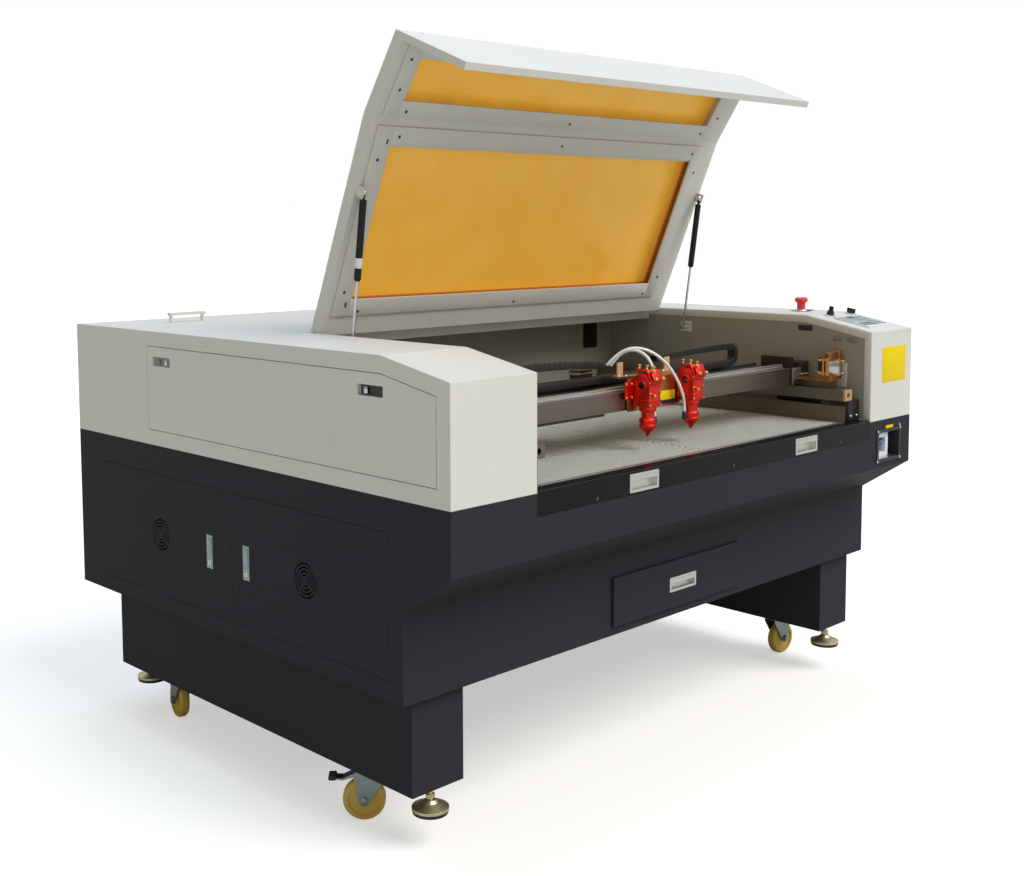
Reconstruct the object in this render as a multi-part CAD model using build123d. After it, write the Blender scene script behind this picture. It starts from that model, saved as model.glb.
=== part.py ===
from build123d import *
import os
from math import atan, cos, degrees, hypot, radians, sin, tan

os.makedirs("parts", exist_ok=True)

# Overall size of the cabinet; X runs along the front, the front faces -Y
width = 1900
depth = 1550
spigot_reach = 50
trim_proud = 3
sheet = 2
post_left = 254
post_right = 235
side = width / 2
front = -(depth + spigot_reach - trim_proud) / 2
rear = front + depth
chamber_left = -side + post_left
chamber_right = side - post_right

# Heights of the bands, from the floor up
caster_height = 137
pedestal_height = 223
lower_height = 203
slope_height = 99
band_height = 141
cream_height = 260
roof_rise = 41
roof_run = 214
set_back = 149
body_bottom = caster_height + pedestal_height
slope_bottom = body_bottom + lower_height
slope_top = slope_bottom + slope_height
deck_z = slope_top + band_height
brow_z = deck_z + cream_height
roof_z = brow_z + roof_rise
roof_break = front + roof_run
roof_slope = atan(roof_rise / roof_run)

# Pedestals, casters and levelling feet
pedestal_width = 153
pedestal_inset = 44
pedestal_front_inset = 173
pedestal_rear_inset = 130
pedestal_front = front + pedestal_front_inset
pedestal_rear = rear - pedestal_rear_inset
pedestal_sheet = 3
pedestal_x = side - pedestal_inset - pedestal_width / 2
caster_front_inset = 207
caster_rear_inset = 195
foot_front_inset = 27
foot_rear_inset = 30
caster_front_y = pedestal_front + caster_front_inset
caster_rear_y = pedestal_rear - caster_rear_inset
foot_front_y = pedestal_front + foot_front_inset
foot_rear_y = pedestal_rear - foot_rear_inset
wheel_radius = 50
wheel_width = 26
wheel_trail = 32
wheel_dish = 13
axle_radius = 5
swivel_radius = 31
swivel_plate = 6
swivel_race = 6
fork_sheet = 3
fork_gap = 34
turn_gap = 0.4
shaft_gap = 0.08
foot_radius = 42
foot_lift = 75
stem_radius = 6

# Front rail that folds down between the two front posts
rail_height = 56
rail_depth = 40
rail_sheet = 3
seam = 2
rail_bottom = deck_z + 4 - rail_height
rail_pull_width = 108
rail_pull_height = 44
rail_pull_left = 366
rail_pull_right = 343
rail_pull_places = (chamber_left + rail_pull_left, chamber_right - rail_pull_right)

# Lid, modelled closed and then opened about its hinge
lid_open = 67.5
lid_depth = 36
flap_depth = 18
lid_sheet = 2
lid_gap = 4
lid_x0 = chamber_left + lid_gap
lid_x1 = chamber_right - lid_gap
lid_rear = -3
lid_bottom = deck_z + 6
hinge_y = 0
knuckle_radius = 6
hinge_pin_radius = 2.5
hinge_z = roof_z + knuckle_radius + 0.3
hinge_length = 110
hinge_inset = 176
hinge_places = (chamber_left + hinge_inset, (chamber_left + chamber_right) / 2,
                chamber_right - hinge_inset)
window_side = 88
window_lip = 12
pane_thickness = 4
main_window_front = front + 297
main_window_rear = front + 708
slope_window_start = 46
slope_window_end = 168

# Gas struts between the cabinet walls and the lid
strut_inset = 20
strut_foot_y = -150
strut_foot_z = 1046
strut_head_y = -399
strut_head_drop = 16
strut_head_z = roof_z - lid_depth - strut_head_drop
strut_left_x = chamber_left + strut_inset
strut_right_x = chamber_right - strut_inset
strut_radius = 9
strut_rod_radius = 4
strut_cylinder_length = 196
strut_eye_radius = 7
strut_eye_width = 9
strut_neck = 18
stud_radius = 3.5

# Work chamber, bed and table
bed_clearance = 111
bed_width = chamber_right - chamber_left - bed_clearance
bed_length = 900
bed_thickness = 20
bed_rise = 2
bed_gap = 2
bed_edge = 14
bed_front = front + rail_depth + 7
table_sheet = 3
table_wall_rise = 47
ledge_width = 25
bed_rear_gap = 8
chamber_rear = bed_front + bed_length + bed_rear_gap
slot_inset = 83
slot_width = 72
slot_x0 = chamber_right - slot_inset - slot_width
slot_x1 = chamber_right - slot_inset
slot_z0 = deck_z + 165
slot_z1 = deck_z + 255

# Gantry: rail beams along Y, bridge beam along X, and the carriage with two heads
y_rail_x = bed_width / 2 + 2
y_rail_width = 40
y_rail_z0 = deck_z + 65
y_rail_z1 = deck_z + 97
beam_front = front + 205
beam_depth = 80
beam_height = 47
beam_lift = 5
beam_wall = 4
beam_end = y_rail_x - 32
slide_gap = 0.6
guide_width = 15
guide_height = 12
guide_setback = 14
end_plate = 8
tray_depth = 40
carriage_x = -15
head_spacing = 183
head_front = 40
head_block = 46
head_block_height = 88
head_block_z = 916
nozzle_z = 840
barrel_radius = 13.5

# Air hoses from the end of the left chain to the two barrels
hose_radius = 4
hose_offset = head_block / 2 + hose_radius + 1.5
hose_socket = 12
left_hose_points = [
    (-124, -527, 1013), (-116, -540, 1035), (-107, -561, 1053), (-97, -590, 1056),
    (-87, -614, 1042), (-80, -628, 1016), (-78, -632, 982), (-78, -633.5, 936),
    (-78, -633.5, 886)]
right_hose_points = [
    (-124, -514, 1013), (-104, -529, 1040), (-76, -549, 1057), (-45, -571, 1055),
    (-14, -592, 1037), (12, -609, 1008), (31, -622, 973), (43, -630.5, 937),
    (48, -633.5, 911), (48, -633.5, 886)]

# Energy chains of the beam
chain_width = 25
chain_height = 20
chain_bend = 28

# Left side: doors below, access panel above
door_bottom = body_bottom + 45
door_height = 321
front_door_y0 = front + 196
front_door_y1 = front + 785
rear_door_length = 586
rear_door_inset = 139
rear_door_y1 = rear - rear_door_inset
rear_door_y0 = rear_door_y1 - rear_door_length
door_rim = 15
door_gap = 1.5
grille_radius = 42
grille_slot = 4
grille_pitch = 9
front_grille_y = front + 488
rear_grille_y = rear - 432
latch_width = 27
latch_height = 88
latch_offset = 60
latch_z = body_bottom + 201
panel_y0 = front + 42
panel_y1 = rear - 386
panel_z0 = deck_z + 41
panel_z1 = deck_z + 261
lock_width = 84
lock_height = 24
lock_places = (panel_y0 + 206, panel_y1 - 69)
lock_drop = 14
lock_travel = 10

# Rear cover with its hatch and the tube under it
cover_length = 337
hatch_length = 250
hatch_inset = 38
side_seam_y = rear - cover_length
hatch_rear = rear - hatch_inset
hatch_front = hatch_rear - hatch_length
hatch_half = side - 70
handle_length = 104
handle_x0 = -hatch_half + 136
handle_x1 = handle_x0 + handle_length
handle_setback = 120
tube_radius = 40
tube_half = side - 330
tube_cradle_inset = 120
tube_y = rear - 160
tube_z = deck_z + 130

# Drawer under the front
drawer_x0 = -266
drawer_x1 = 272
drawer_bottom = body_bottom + 23
drawer_height = 123
drawer_face = 8
drawer_length = 480
drawer_sheet = 1.5
drawer_pull_width = 113
drawer_pull_height = 38
drawer_pull_x = 14

# Right post: breaker and the controls on its roof
breaker_width = 123
breaker_inset = 66
breaker_x1 = side - breaker_inset
breaker_x0 = breaker_x1 - breaker_width
breaker_z0 = slope_top + 24
breaker_z1 = slope_top + 105
breaker_depth = 45
breaker_flange = 8
toggle_width = 34
toggle_height = 30
estop_x = side - 87
estop_y = front + 322
estop_radius = 20
estop_height = 43
estop_shaft_radius = 8
key_x = side - 154
selector_x = side - 34
knob_run = 186
knob_radius = 11
keypad_width = 135
keypad_x1 = side - 45
keypad_x0 = keypad_x1 - keypad_width
keypad_run0 = 40
keypad_run1 = 160
keypad_thickness = 4
spigot_radius = 75
spigot_z = 480


# Basic shapes
def block(x0, x1, y0, y1, z0, z1):
    return Pos((x0 + x1) / 2, (y0 + y1) / 2, (z0 + z1) / 2) * Box(x1 - x0, y1 - y0, z1 - z0)


def side_face(points, x=0):
    return make_face(Polyline(*[(x, y, z) for y, z in points], close=True))


def prism(points, x0, x1):
    return extrude(side_face(points, x0), amount=x1 - x0, dir=(1, 0, 0))


def inset_prism(points, wall, x0, x1):
    inner = offset(side_face(points, x0), amount=-wall, kind=Kind.INTERSECTION)
    return extrude(inner, amount=x1 - x0, dir=(1, 0, 0))


def rod(start, end, radius):
    run = Vector(*end) - Vector(*start)
    return Plane(origin=start, z_dir=run) * Cylinder(
        radius, run.length, align=(Align.CENTER, Align.CENTER, Align.MIN))


def tube(start, end, radius, bore):
    return rod(start, end, radius) - rod(start, end, bore)


def save(name, *shapes):
    pieces = []
    for shape in shapes:
        pieces += shape.solids()
    export_step(Compound(children=pieces), f"parts/{name}.step")


# Outlines that several sheets share
base_outline = [
    (front + set_back, body_bottom), (front + set_back, slope_bottom), (front, slope_top),
    (front, deck_z), (rear, deck_z), (rear, body_bottom)]
shell_outline = [
    (front, deck_z), (front, brow_z), (roof_break, roof_z), (side_seam_y, roof_z),
    (side_seam_y, deck_z)]


def roof_height(y):
    return min(roof_z, brow_z + (y - front) * roof_rise / roof_run)


# Frame of the sloped roof: along is measured up the slope, out is square to it
def on_slope(along, out):
    y = front + along * cos(roof_slope) - out * sin(roof_slope)
    z = brow_z + along * sin(roof_slope) + out * cos(roof_slope)
    return y, z


def slope_block(x0, x1, along0, along1, out0, out1):
    corners = [(along0, out0), (along1, out0), (along1, out1), (along0, out1)]
    return prism([on_slope(a, o) for a, o in corners], x0, x1)


# Concentric arc slots of a round grille, in the plane of the left wall
def grille(y, z):
    wall = Plane(origin=(-side - 1, y, z), x_dir=(0, 1, 0), z_dir=(1, 0, 0))
    slots = None
    radius = grille_radius
    while radius > grille_pitch:
        ring = Circle(radius) - Circle(radius - grille_slot)
        slots = ring if slots is None else slots + ring
        radius -= grille_pitch
    webs = Rectangle(2.4 * grille_radius, grille_slot) + Rectangle(grille_slot, 2.4 * grille_radius)
    return extrude(wall * (Rot(0, 0, 35) * (slots - webs)), amount=sheet + 2)


# Dark lower cabinet: one folded shell with the fold under the front edge
def base_shell():
    shell = prism(base_outline, -side, side)
    shell -= inset_prism(base_outline, sheet, -side + sheet, side - sheet)
    bed_x = bed_width / 2 + bed_gap + table_sheet + 1
    bed_y0 = bed_front - bed_gap - table_sheet - 1
    bed_y1 = bed_front + bed_length + bed_gap + table_sheet + 1
    shell -= block(-bed_x, bed_x, bed_y0, bed_y1, deck_z - 2 * sheet, deck_z + 1)
    shell -= block(chamber_left, chamber_right, front - 1, front + rail_depth + 1,
                   rail_bottom - 1, deck_z + 1)
    shell += block(chamber_left, chamber_right, front, front + rail_depth,
                   rail_bottom - 1 - sheet, rail_bottom - 1)
    for y0, y1 in ((front_door_y0, front_door_y1), (rear_door_y0, rear_door_y1)):
        shell -= block(-side - 1, -side + sheet + 1, y0 - door_gap, y1 + door_gap,
                       door_bottom - door_gap, door_bottom + door_height + door_gap)
    shell -= drawer_opening()
    shell -= block(breaker_x0, breaker_x1, front - 1, front + sheet + 1, breaker_z0, breaker_z1)
    shell -= rod((0, rear - 2 * sheet, spigot_z), (0, rear + 1, spigot_z), spigot_radius - sheet)
    shell += tube((0, rear - sheet, spigot_z), (0, rear + spigot_reach, spigot_z),
                  spigot_radius, spigot_radius - sheet)
    for x in (drawer_x0 + 8, drawer_x1 - 8):
        shell += block(x - 10, x + 10, front + set_back + sheet, front + set_back + drawer_length,
                       body_bottom + sheet, drawer_bottom + 4)
    return shell


def drawer_opening():
    return block(drawer_x0 + 6, drawer_x1 - 6, front + set_back - 1, front + set_back + sheet + 1,
                 drawer_bottom + 4, drawer_bottom + drawer_height - 6)


# Pedestals with the caster top plates bolted under them
def pedestals():
    pieces = []
    for hand in (-1, 1):
        x = hand * pedestal_x
        x0 = x - pedestal_width / 2
        x1 = x + pedestal_width / 2
        leg = block(x0, x1, pedestal_front, pedestal_rear, caster_height, body_bottom)
        leg -= block(x0 + pedestal_sheet, x1 - pedestal_sheet, pedestal_front + pedestal_sheet,
                     pedestal_rear - pedestal_sheet, caster_height + 2 * pedestal_sheet, body_bottom + 1)
        for y in (caster_front_y, caster_rear_y):
            leg += block(x - 45, x + 45, y - 38, y + 38, caster_height - swivel_plate, caster_height)
            leg += rod((x, y, caster_height - swivel_plate - swivel_race),
                       (x, y, caster_height), swivel_radius - 3)
        for y in (foot_front_y, foot_rear_y):
            leg -= rod((x, y, caster_height - 1), (x, y, caster_height + 20), stem_radius + shaft_gap)
        pieces.append(leg)
    return pieces


# Casters are drawn trailing along +X, then turned to their heading
def caster_fork(x, y, heading, braked):
    crown_top = caster_height - swivel_plate - swivel_race - turn_gap
    crown = crown_top - 6
    inner = fork_gap / 2
    fork = rod((0, 0, crown), (0, 0, crown_top), swivel_radius)
    fork += block(0, wheel_trail + 14, -inner - fork_sheet, inner + fork_sheet, crown, crown_top)
    leg_outline = [(-22, crown_top), (wheel_trail + 14, crown_top), (wheel_trail + 24, crown - 8),
                   (wheel_trail + 12, wheel_radius - 4), (wheel_trail - 4, wheel_radius - 12),
                   (wheel_trail - 14, wheel_radius), (-22, crown - 10)]
    face = make_face(Polyline(*[(px, 0, pz) for px, pz in leg_outline], close=True))
    for hand in (-1, 1):
        cheek = extrude(face, amount=fork_sheet, dir=(0, hand, 0))
        fork += Pos(0, hand * inner, 0) * cheek
    fork += rod((wheel_trail, -inner - fork_sheet - 5, wheel_radius),
                (wheel_trail, inner + fork_sheet + 5, wheel_radius), axle_radius)
    if braked:
        pin = (wheel_trail + 19, crown - 8)
        fork += rod((pin[0], -inner - 1, pin[1]), (pin[0], inner + 1, pin[1]), 2.5)
    return Pos(x, y, 0) * Rot(0, 0, heading) * fork


def caster_wheel(x, y, heading):
    half = wheel_width / 2
    hub = fork_gap / 2 - 1
    bore = axle_radius + shaft_gap
    rim = wheel_radius - 12
    shoulder = wheel_radius - 4
    dish = wheel_dish
    outline = [(bore, -hub), (dish, -hub), (dish, -half + 4), (rim, -half + 4), (rim, -half),
               (shoulder, -half), (wheel_radius, -half + 6), (wheel_radius, half - 6),
               (shoulder, half), (rim, half), (rim, half - 4), (dish, half - 4),
               (dish, hub), (bore, hub)]
    wheel = revolve(make_face(Polyline(*outline, close=True)), axis=Axis.Y)
    wheel = Pos(wheel_trail, 0, wheel_radius) * wheel
    return Pos(x, y, 0) * Rot(0, 0, heading) * wheel


def brake_pedal(x, y, heading):
    crown = caster_height - swivel_plate - swivel_race - turn_gap - 6
    pin_x = wheel_trail + 19
    pin_z = crown - 8
    half = fork_gap / 2 - 2
    sole = [(pin_x + 1, pin_z - 5), (pin_x + 30, pin_z - 13), (pin_x + 54, pin_z - 11),
            (pin_x + 62, pin_z - 5), (pin_x + 60, pin_z - 3), (pin_x + 53, pin_z - 8),
            (pin_x + 30, pin_z - 9), (pin_x, pin_z + 5)]
    face = make_face(Polyline(*[(px, -half, pz) for px, pz in sole], close=True))
    pedal = extrude(face, amount=2 * half, dir=(0, 1, 0))
    pedal += rod((pin_x, -half, pin_z), (pin_x, half, pin_z), 5)
    pedal -= rod((pin_x, -half - 1, pin_z), (pin_x, half + 1, pin_z), 2.5 + shaft_gap)
    return Pos(x, y, 0) * Rot(0, 0, heading) * pedal


# Levelling foot: pad, cup, nut and stem turned in one
def levelling_foot(x, y):
    outline = [
        (0, foot_lift), (foot_radius - 2, foot_lift), (foot_radius, foot_lift + 8),
        (foot_radius, foot_lift + 14), (18, foot_lift + 24), (12, foot_lift + 30),
        (stem_radius, foot_lift + 30), (stem_radius, caster_height + 100), (0, caster_height + 100)]
    face = make_face(Polyline(*[(r, 0, z) for r, z in outline], close=True))
    foot = revolve(face, axis=Axis.Z)
    nut = Pos(0, 0, foot_lift + 34) * extrude(RegularPolygon(11, 6), amount=9)
    return Pos(x, y, 0) * (foot + nut)


# Cream side shells: folded skin, open below and at the rear seam
def upper_shell(x0, x1):
    shell = prism(shell_outline, x0, x1)
    shell -= inset_prism(shell_outline, sheet, x0 + sheet, x1 - sheet)
    shell -= block(x0 + sheet, x1 - sheet, front + sheet, side_seam_y + 1,
                   deck_z - 1, deck_z + 2 * sheet)
    shell -= block(x0 + sheet, x1 - sheet, side_seam_y - 2 * sheet, side_seam_y + 1,
                   deck_z - 1, roof_z - sheet)
    return shell


def panel_outline(gap):
    top = panel_z1 + gap
    y0 = panel_y0 - gap
    low = roof_height(panel_y0) - (roof_z - panel_z1) + gap
    return [(y0, panel_z0 - gap), (y0, low), (roof_break, top), (panel_y1 + gap, top),
            (panel_y1 + gap, panel_z0 - gap)]


def left_upper_shell():
    shell = upper_shell(-side, chamber_left)
    shell -= prism(panel_outline(door_gap), -side - 1, -side + sheet + 1)
    shell += strut_bracket(chamber_left, 1)
    return shell


def right_upper_shell():
    shell = upper_shell(chamber_right, side)
    shell -= rod((estop_x, estop_y, roof_z - 10), (estop_x, estop_y, roof_z + 1),
                 estop_shaft_radius + 1)
    for x in (key_x, selector_x):
        shell -= slope_rod(x, knob_run, -10, 1, knob_radius - 3)
    shell += strut_bracket(chamber_right, -1)
    return shell


def slope_rod(x, along, out0, out1, radius):
    y0, z0 = on_slope(along, out0)
    y1, z1 = on_slope(along, out1)
    return rod((x, y0, z0), (x, y1, z1), radius)


# Fixed strut bracket: a tab on the chamber wall with a stud for the eye
def strut_bracket(wall_x, hand):
    x0 = min(wall_x, wall_x + hand * 4)
    x1 = max(wall_x, wall_x + hand * 4)
    tab = block(x0, x1, strut_foot_y - 20, strut_foot_y + 20, strut_foot_z - 14,
                roof_z - sheet - lid_depth - 1)
    reach = strut_inset - strut_eye_width / 2 - turn_gap
    stud = rod((wall_x, strut_foot_y, strut_foot_z),
               (wall_x + hand * reach, strut_foot_y, strut_foot_z), stud_radius)
    return tab + stud


# Rear cover: full width behind the side seam, with the deck in front of it up to the lid hinge
def rear_upper_shell():
    cover = block(-side, side, side_seam_y, rear, deck_z, roof_z)
    cover -= block(-side + sheet, side - sheet, side_seam_y - 1, rear - sheet, deck_z - 1, roof_z - sheet)
    cover += block(chamber_left, chamber_right, -lid_rear, side_seam_y, roof_z - sheet, roof_z)
    cover += block(chamber_left, chamber_right, -lid_rear, -lid_rear + sheet, roof_z - lid_depth, roof_z)
    cover -= block(-hatch_half - door_gap, hatch_half + door_gap, hatch_front - door_gap,
                   hatch_rear + door_gap, roof_z - 2 * sheet, roof_z + 1)
    for x in (-tube_half + tube_cradle_inset, tube_half - tube_cradle_inset):
        cradle = block(x - 15, x + 15, tube_y - 55, tube_y + 55, deck_z, tube_z)
        cradle -= rod((x - 16, tube_y, tube_z), (x + 16, tube_y, tube_z), tube_radius)
        cover += cradle
    cover += block(-tube_half, tube_half, tube_y - 60, rear - sheet, deck_z, deck_z + sheet)
    for x in hinge_places:
        cover += hinge_leaf(x, 1)
    return cover


# Butt hinge: outer knuckles and pin on the deck, middle knuckle on the lid
def hinge_leaf(x, hand):
    half = hinge_length / 2
    third = hinge_length / 6
    y_near = 3
    y_far = 32
    plate_y0 = y_near if hand > 0 else -y_far
    plate_y1 = y_far if hand > 0 else -y_near
    strip_y0 = plate_y0 + 4 if hand > 0 else plate_y0
    strip_y1 = plate_y1 if hand > 0 else plate_y1 - 4
    if hand > 0:
        spans = ((x - half, x - third - turn_gap), (x + third + turn_gap, x + half))
    else:
        spans = ((x - third, x + third),)
    leaf = block(x - half, x + half, strip_y0, strip_y1, roof_z, roof_z + 2)
    for x0, x1 in spans:
        leaf += block(x0, x1, plate_y0, plate_y1, roof_z, roof_z + 2)
        leaf += rod((x0, hinge_y, hinge_z), (x1, hinge_y, hinge_z), knuckle_radius)
    if hand > 0:
        leaf += rod((x - half, hinge_y, hinge_z), (x + half, hinge_y, hinge_z), hinge_pin_radius)
    else:
        leaf -= rod((x - half, hinge_y, hinge_z), (x + half, hinge_y, hinge_z),
                    hinge_pin_radius + shaft_gap)
    return leaf


# Back wall of the chamber, with its vent slot and folded edges
def chamber_back_wall():
    x0 = chamber_left + 1
    x1 = chamber_right - 1
    top = roof_z - sheet - 1
    wall = block(x0, x1, chamber_rear, chamber_rear + sheet, deck_z, top)
    wall += block(x0, x1, chamber_rear, chamber_rear + 22, top - sheet, top)
    wall += block(x0, x1, chamber_rear, chamber_rear + 22, deck_z, deck_z + sheet)
    wall -= block(slot_x0, slot_x1, chamber_rear - 1, chamber_rear + sheet + 1,
                  slot_z0, slot_z1)
    return wall


# Table frame around the bed: walls on three sides, a low front, and the ledge the bed lies on
def table_frame():
    x_in = bed_width / 2 + bed_gap
    y0 = bed_front - bed_gap
    y1 = bed_front + bed_length + bed_gap
    bed_bottom = deck_z + bed_rise - bed_thickness
    t = table_sheet
    frame = block(-x_in - t, x_in + t, y0 - t, y1 + t, bed_bottom - t, deck_z + table_wall_rise)
    frame -= block(-x_in, x_in, y0, y1, bed_bottom, deck_z + table_wall_rise + 1)
    frame -= block(-x_in + ledge_width, x_in - ledge_width, y0 + ledge_width, y1 - ledge_width,
                   bed_bottom - t - 1, bed_bottom + 1)
    frame -= block(-x_in - t - 1, x_in + t + 1, y0 - t - 1, y0 + 1,
                   deck_z, deck_z + table_wall_rise + 1)
    for hand in (-1, 1):
        inner = hand * (x_in + t / 2)
        outer = hand * (x_in + t + 18)
        frame += block(min(inner, outer), max(inner, outer), y0 + 15, y1 - 15,
                       deck_z, deck_z + t)
    return frame


# Bed: aluminium edge frame around the honeycomb field
def honeycomb_bed():
    top = deck_z + bed_rise
    bed = block(-bed_width / 2, bed_width / 2, bed_front, bed_front + bed_length,
                top - bed_thickness, top)
    half = bed_width / 2 - bed_edge
    field = block(-half, half, bed_front + bed_edge, bed_front + bed_length - bed_edge,
                  top - 1.5, top + 1)
    return bed - field


# Beams that carry the gantry, each on three posts that stand on the deck
def y_rail_beams():
    pieces = []
    y0 = front + 35
    y1 = chamber_rear - 8
    for hand in (-1, 1):
        x = hand * y_rail_x
        half = y_rail_width / 2
        beam = block(x - half, x + half, y0, y1, y_rail_z0, y_rail_z1)
        beam -= block(x - half + 3, x + half - 3, y0 - 1, y1 + 1, y_rail_z0 + 3, y_rail_z1 - 3)
        beam += block(x - half, x + half, y0, y0 + 6, y_rail_z0, y_rail_z1)
        middle = (y_rail_z0 + y_rail_z1) / 2
        beam -= rod((x, y0 - 1, middle), (x, y0 + 7, middle), 7)
        post_x = x + hand * 14
        for y in (y0 + 8, (y0 + y1) / 2, y1 - 28):
            beam += block(post_x - 6, post_x + 6, y, y + 20, deck_z + table_sheet, y_rail_z0)
        pieces.append(beam)
    return pieces


# Bridge beam: hollow section with the chain tray behind it
def gantry_beam():
    z0 = y_rail_z1 + beam_lift
    z1 = z0 + beam_height
    y1 = beam_front + beam_depth
    beam = block(-beam_end, beam_end, beam_front, y1, z0, z1)
    beam -= block(-beam_end - 1, beam_end + 1, beam_front + beam_wall, y1 - beam_wall,
                  z0 + beam_wall, z1 - beam_wall)
    for groove in (z0 + 3, z1 - 9):
        beam -= block(-beam_end - 1, beam_end + 1, beam_front - 1, beam_front + 1.5,
                      groove, groove + 3)
    beam += block(-beam_end, beam_end, y1, y1 + tray_depth, z1 - 3, z1)
    beam += block(-beam_end, beam_end, y1 + tray_depth - 2, y1 + tray_depth, z1 - 3, z1 + 8)
    return beam


def gantry_guide_rail():
    z0 = y_rail_z1 + beam_lift + beam_height
    y0 = beam_front + guide_setback
    rail = block(-beam_end + 20, beam_end - 20, y0, y0 + guide_width, z0, z0 + guide_height)
    for y in (y0, y0 + guide_width):
        rail -= Pos(0, y, z0 + guide_height * 0.6) * Rot(45, 0, 0) * Box(2 * beam_end, 3, 3)
    return rail


# End plates with the sleds that ride on the rail beams
def gantry_end_plates():
    pieces = []
    z0 = y_rail_z1 + slide_gap
    for hand in (-1, 1):
        near = hand * beam_end
        far = hand * (beam_end + end_plate)
        plate = block(min(near, far), max(near, far), beam_front - 5, beam_front + beam_depth + 22,
                      z0, z0 + 84)
        outer = hand * (y_rail_x + y_rail_width / 2)
        plate += block(min(far, outer), max(far, outer), beam_front - 3,
                       beam_front + beam_depth + 15, z0, z0 + 21)
        pieces.append(plate)
    return pieces


# Mirror on the right end of the beam: arm, foot and the plate set at 45 degrees
def beam_mirror():
    z0 = y_rail_z1 + slide_gap + 21
    x0 = beam_end + end_plate + 1
    x1 = y_rail_x + y_rail_width / 2
    mirror_y = beam_front - 95
    arm = block(x0, x1, mirror_y - 30, beam_front + 30, z0, z0 + 4)
    arm += block(x0 + 8, x1 - 8, mirror_y - 22, mirror_y + 22, z0 + 4, z0 + 16)
    plate = Box(46, 10, 52) - Pos(0, -6, 0) * Rot(90, 0, 0) * Cylinder(15, 8)
    back = Pos(0, 12, 0) * Box(46, 5, 52)
    mount = plate + back
    for dx, dz in ((-17, -19), (17, -19), (-17, 19)):
        mount += Pos(dx, 12, dz) * Rot(90, 0, 0) * Cylinder(3.5, 26)
    mount = Pos((x0 + x1) / 2, mirror_y, z0 + 16 + 25) * Rot(0, 0, 45) * mount
    return arm + mount


# Energy chains of the beam: each doubles back in a half round bend
def chain_loop(x_top, x_bend, x_floor):
    y0 = beam_front + beam_depth + 6
    y1 = y0 + chain_width
    floor = y_rail_z1 + beam_lift + beam_height + 1
    centre = floor + chain_height / 2 + chain_bend
    outer = chain_bend + chain_height / 2
    inner = chain_bend - chain_height / 2
    bend = tube((x_bend, y0, centre), (x_bend, y1, centre), outer, inner)
    hand = 1 if x_bend > 0 else -1
    x_far = x_bend - hand * 2 * outer
    bend -= block(min(x_bend, x_far), max(x_bend, x_far), y0 - 1, y1 + 1,
                  floor - 1, floor + 3 * outer)
    chain = bend + block(min(x_bend, x_floor), max(x_bend, x_floor), y0, y1,
                         floor, floor + chain_height)
    top = centre + inner
    chain += block(min(x_bend, x_top), max(x_bend, x_top), y0, y1, top, top + chain_height)
    return chain


def x_cable_chains():
    return [chain_loop(carriage_x - 112, -430, 40), chain_loop(carriage_x + 112, 430, 60)]


# Carriage: block on the guide rail, top plate and front plate
def head_plate():
    guide_y = beam_front + guide_setback + guide_width / 2
    guide_top = y_rail_z1 + beam_lift + beam_height + guide_height
    top = guide_top + 16
    x = carriage_x
    plate = block(x - 130, x + 130, beam_front - 8, beam_front - 3, guide_top - 62, top + 5)
    plate += block(x - 60, x + 60, beam_front - 8, beam_front + 60, top, top + 5)
    plate += block(x - 45, x + 45, guide_y - 22, guide_y + 22, guide_top + slide_gap, top)
    plate += block(x - 110, x + 110, beam_front + 40, beam_front + 60, top, top + 5)
    return plate


def chain_brackets():
    guide_top = y_rail_z1 + beam_lift + beam_height + guide_height
    pieces = []
    for hand in (-1, 1):
        x = carriage_x + hand * 98
        foot = guide_top + 21
        post = block(x - 11, x + 11, beam_front + 44, beam_front + 48, foot, foot + 37)
        post += block(x - 11, x + 11, beam_front + 48, beam_front + 60, foot, foot + 3)
        pieces.append(post)
    return pieces


# Laser head: mirror block with its slanted cap, and the turned lens barrel below
def laser_head(x, hand):
    y = beam_front - head_front
    half = head_block / 2
    top = head_block_z + head_block_height
    y0 = y - half
    y1 = beam_front - 8
    outline = [(y0, head_block_z), (y0, top - 26), (y0 + 12, top), (y1 - 16, top),
               (y1, top - 18), (y1, head_block_z)]
    head = prism(outline, x - half, x + half)
    head += Pos(x, y0 + 4, top - 12) * Rot(-25, 0, 0) * Box(head_block - 8, 7, 34)
    head -= rod((x - half - 1, y, top - 36), (x + half + 1, y, top - 36), 9)
    sleeve = barrel_radius + 1
    neck = barrel_radius - 2
    collar = barrel_radius + 3
    profile = [
        (0, nozzle_z), (3.5, nozzle_z), (5, nozzle_z + 4), (sleeve, nozzle_z + 22),
        (sleeve, nozzle_z + 44), (neck, nozzle_z + 47), (neck, head_block_z - 12),
        (collar, head_block_z - 12), (collar, head_block_z), (0, head_block_z)]
    face = make_face(Polyline(*[(r, 0, z) for r, z in profile], close=True))
    head += Pos(x, y, 0) * revolve(face, axis=Axis.Z)
    port_x = x + hand * hose_offset
    port_z = nozzle_z + 34
    head += rod((x + hand * 8, y, port_z), (port_x, y, port_z), hose_radius + 0.5)
    head += rod((port_x, y, port_z - 6), (port_x, y, port_z + hose_socket), hose_radius + 1.5)
    return head


# A hose is swept along straight runs joined by tangent arcs
def hose(name, points):
    radii = []
    for a, b, c in zip(points, points[1:], points[2:]):
        first = Vector(*b) - Vector(*a)
        second = Vector(*c) - Vector(*b)
        turn = radians(first.get_angle(second))
        radii.append(0.45 * min(first.length, second.length) / tan(turn / 2))
    path = FilletPolyline(*points, radius=radii)
    end = Plane(origin=points[0], z_dir=path % 0)
    solid = sweep(end * Circle(hose_radius), path=path)
    print(name, "length", round(path.length, 1), "radii", [round(r) for r in radii])
    return solid


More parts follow.
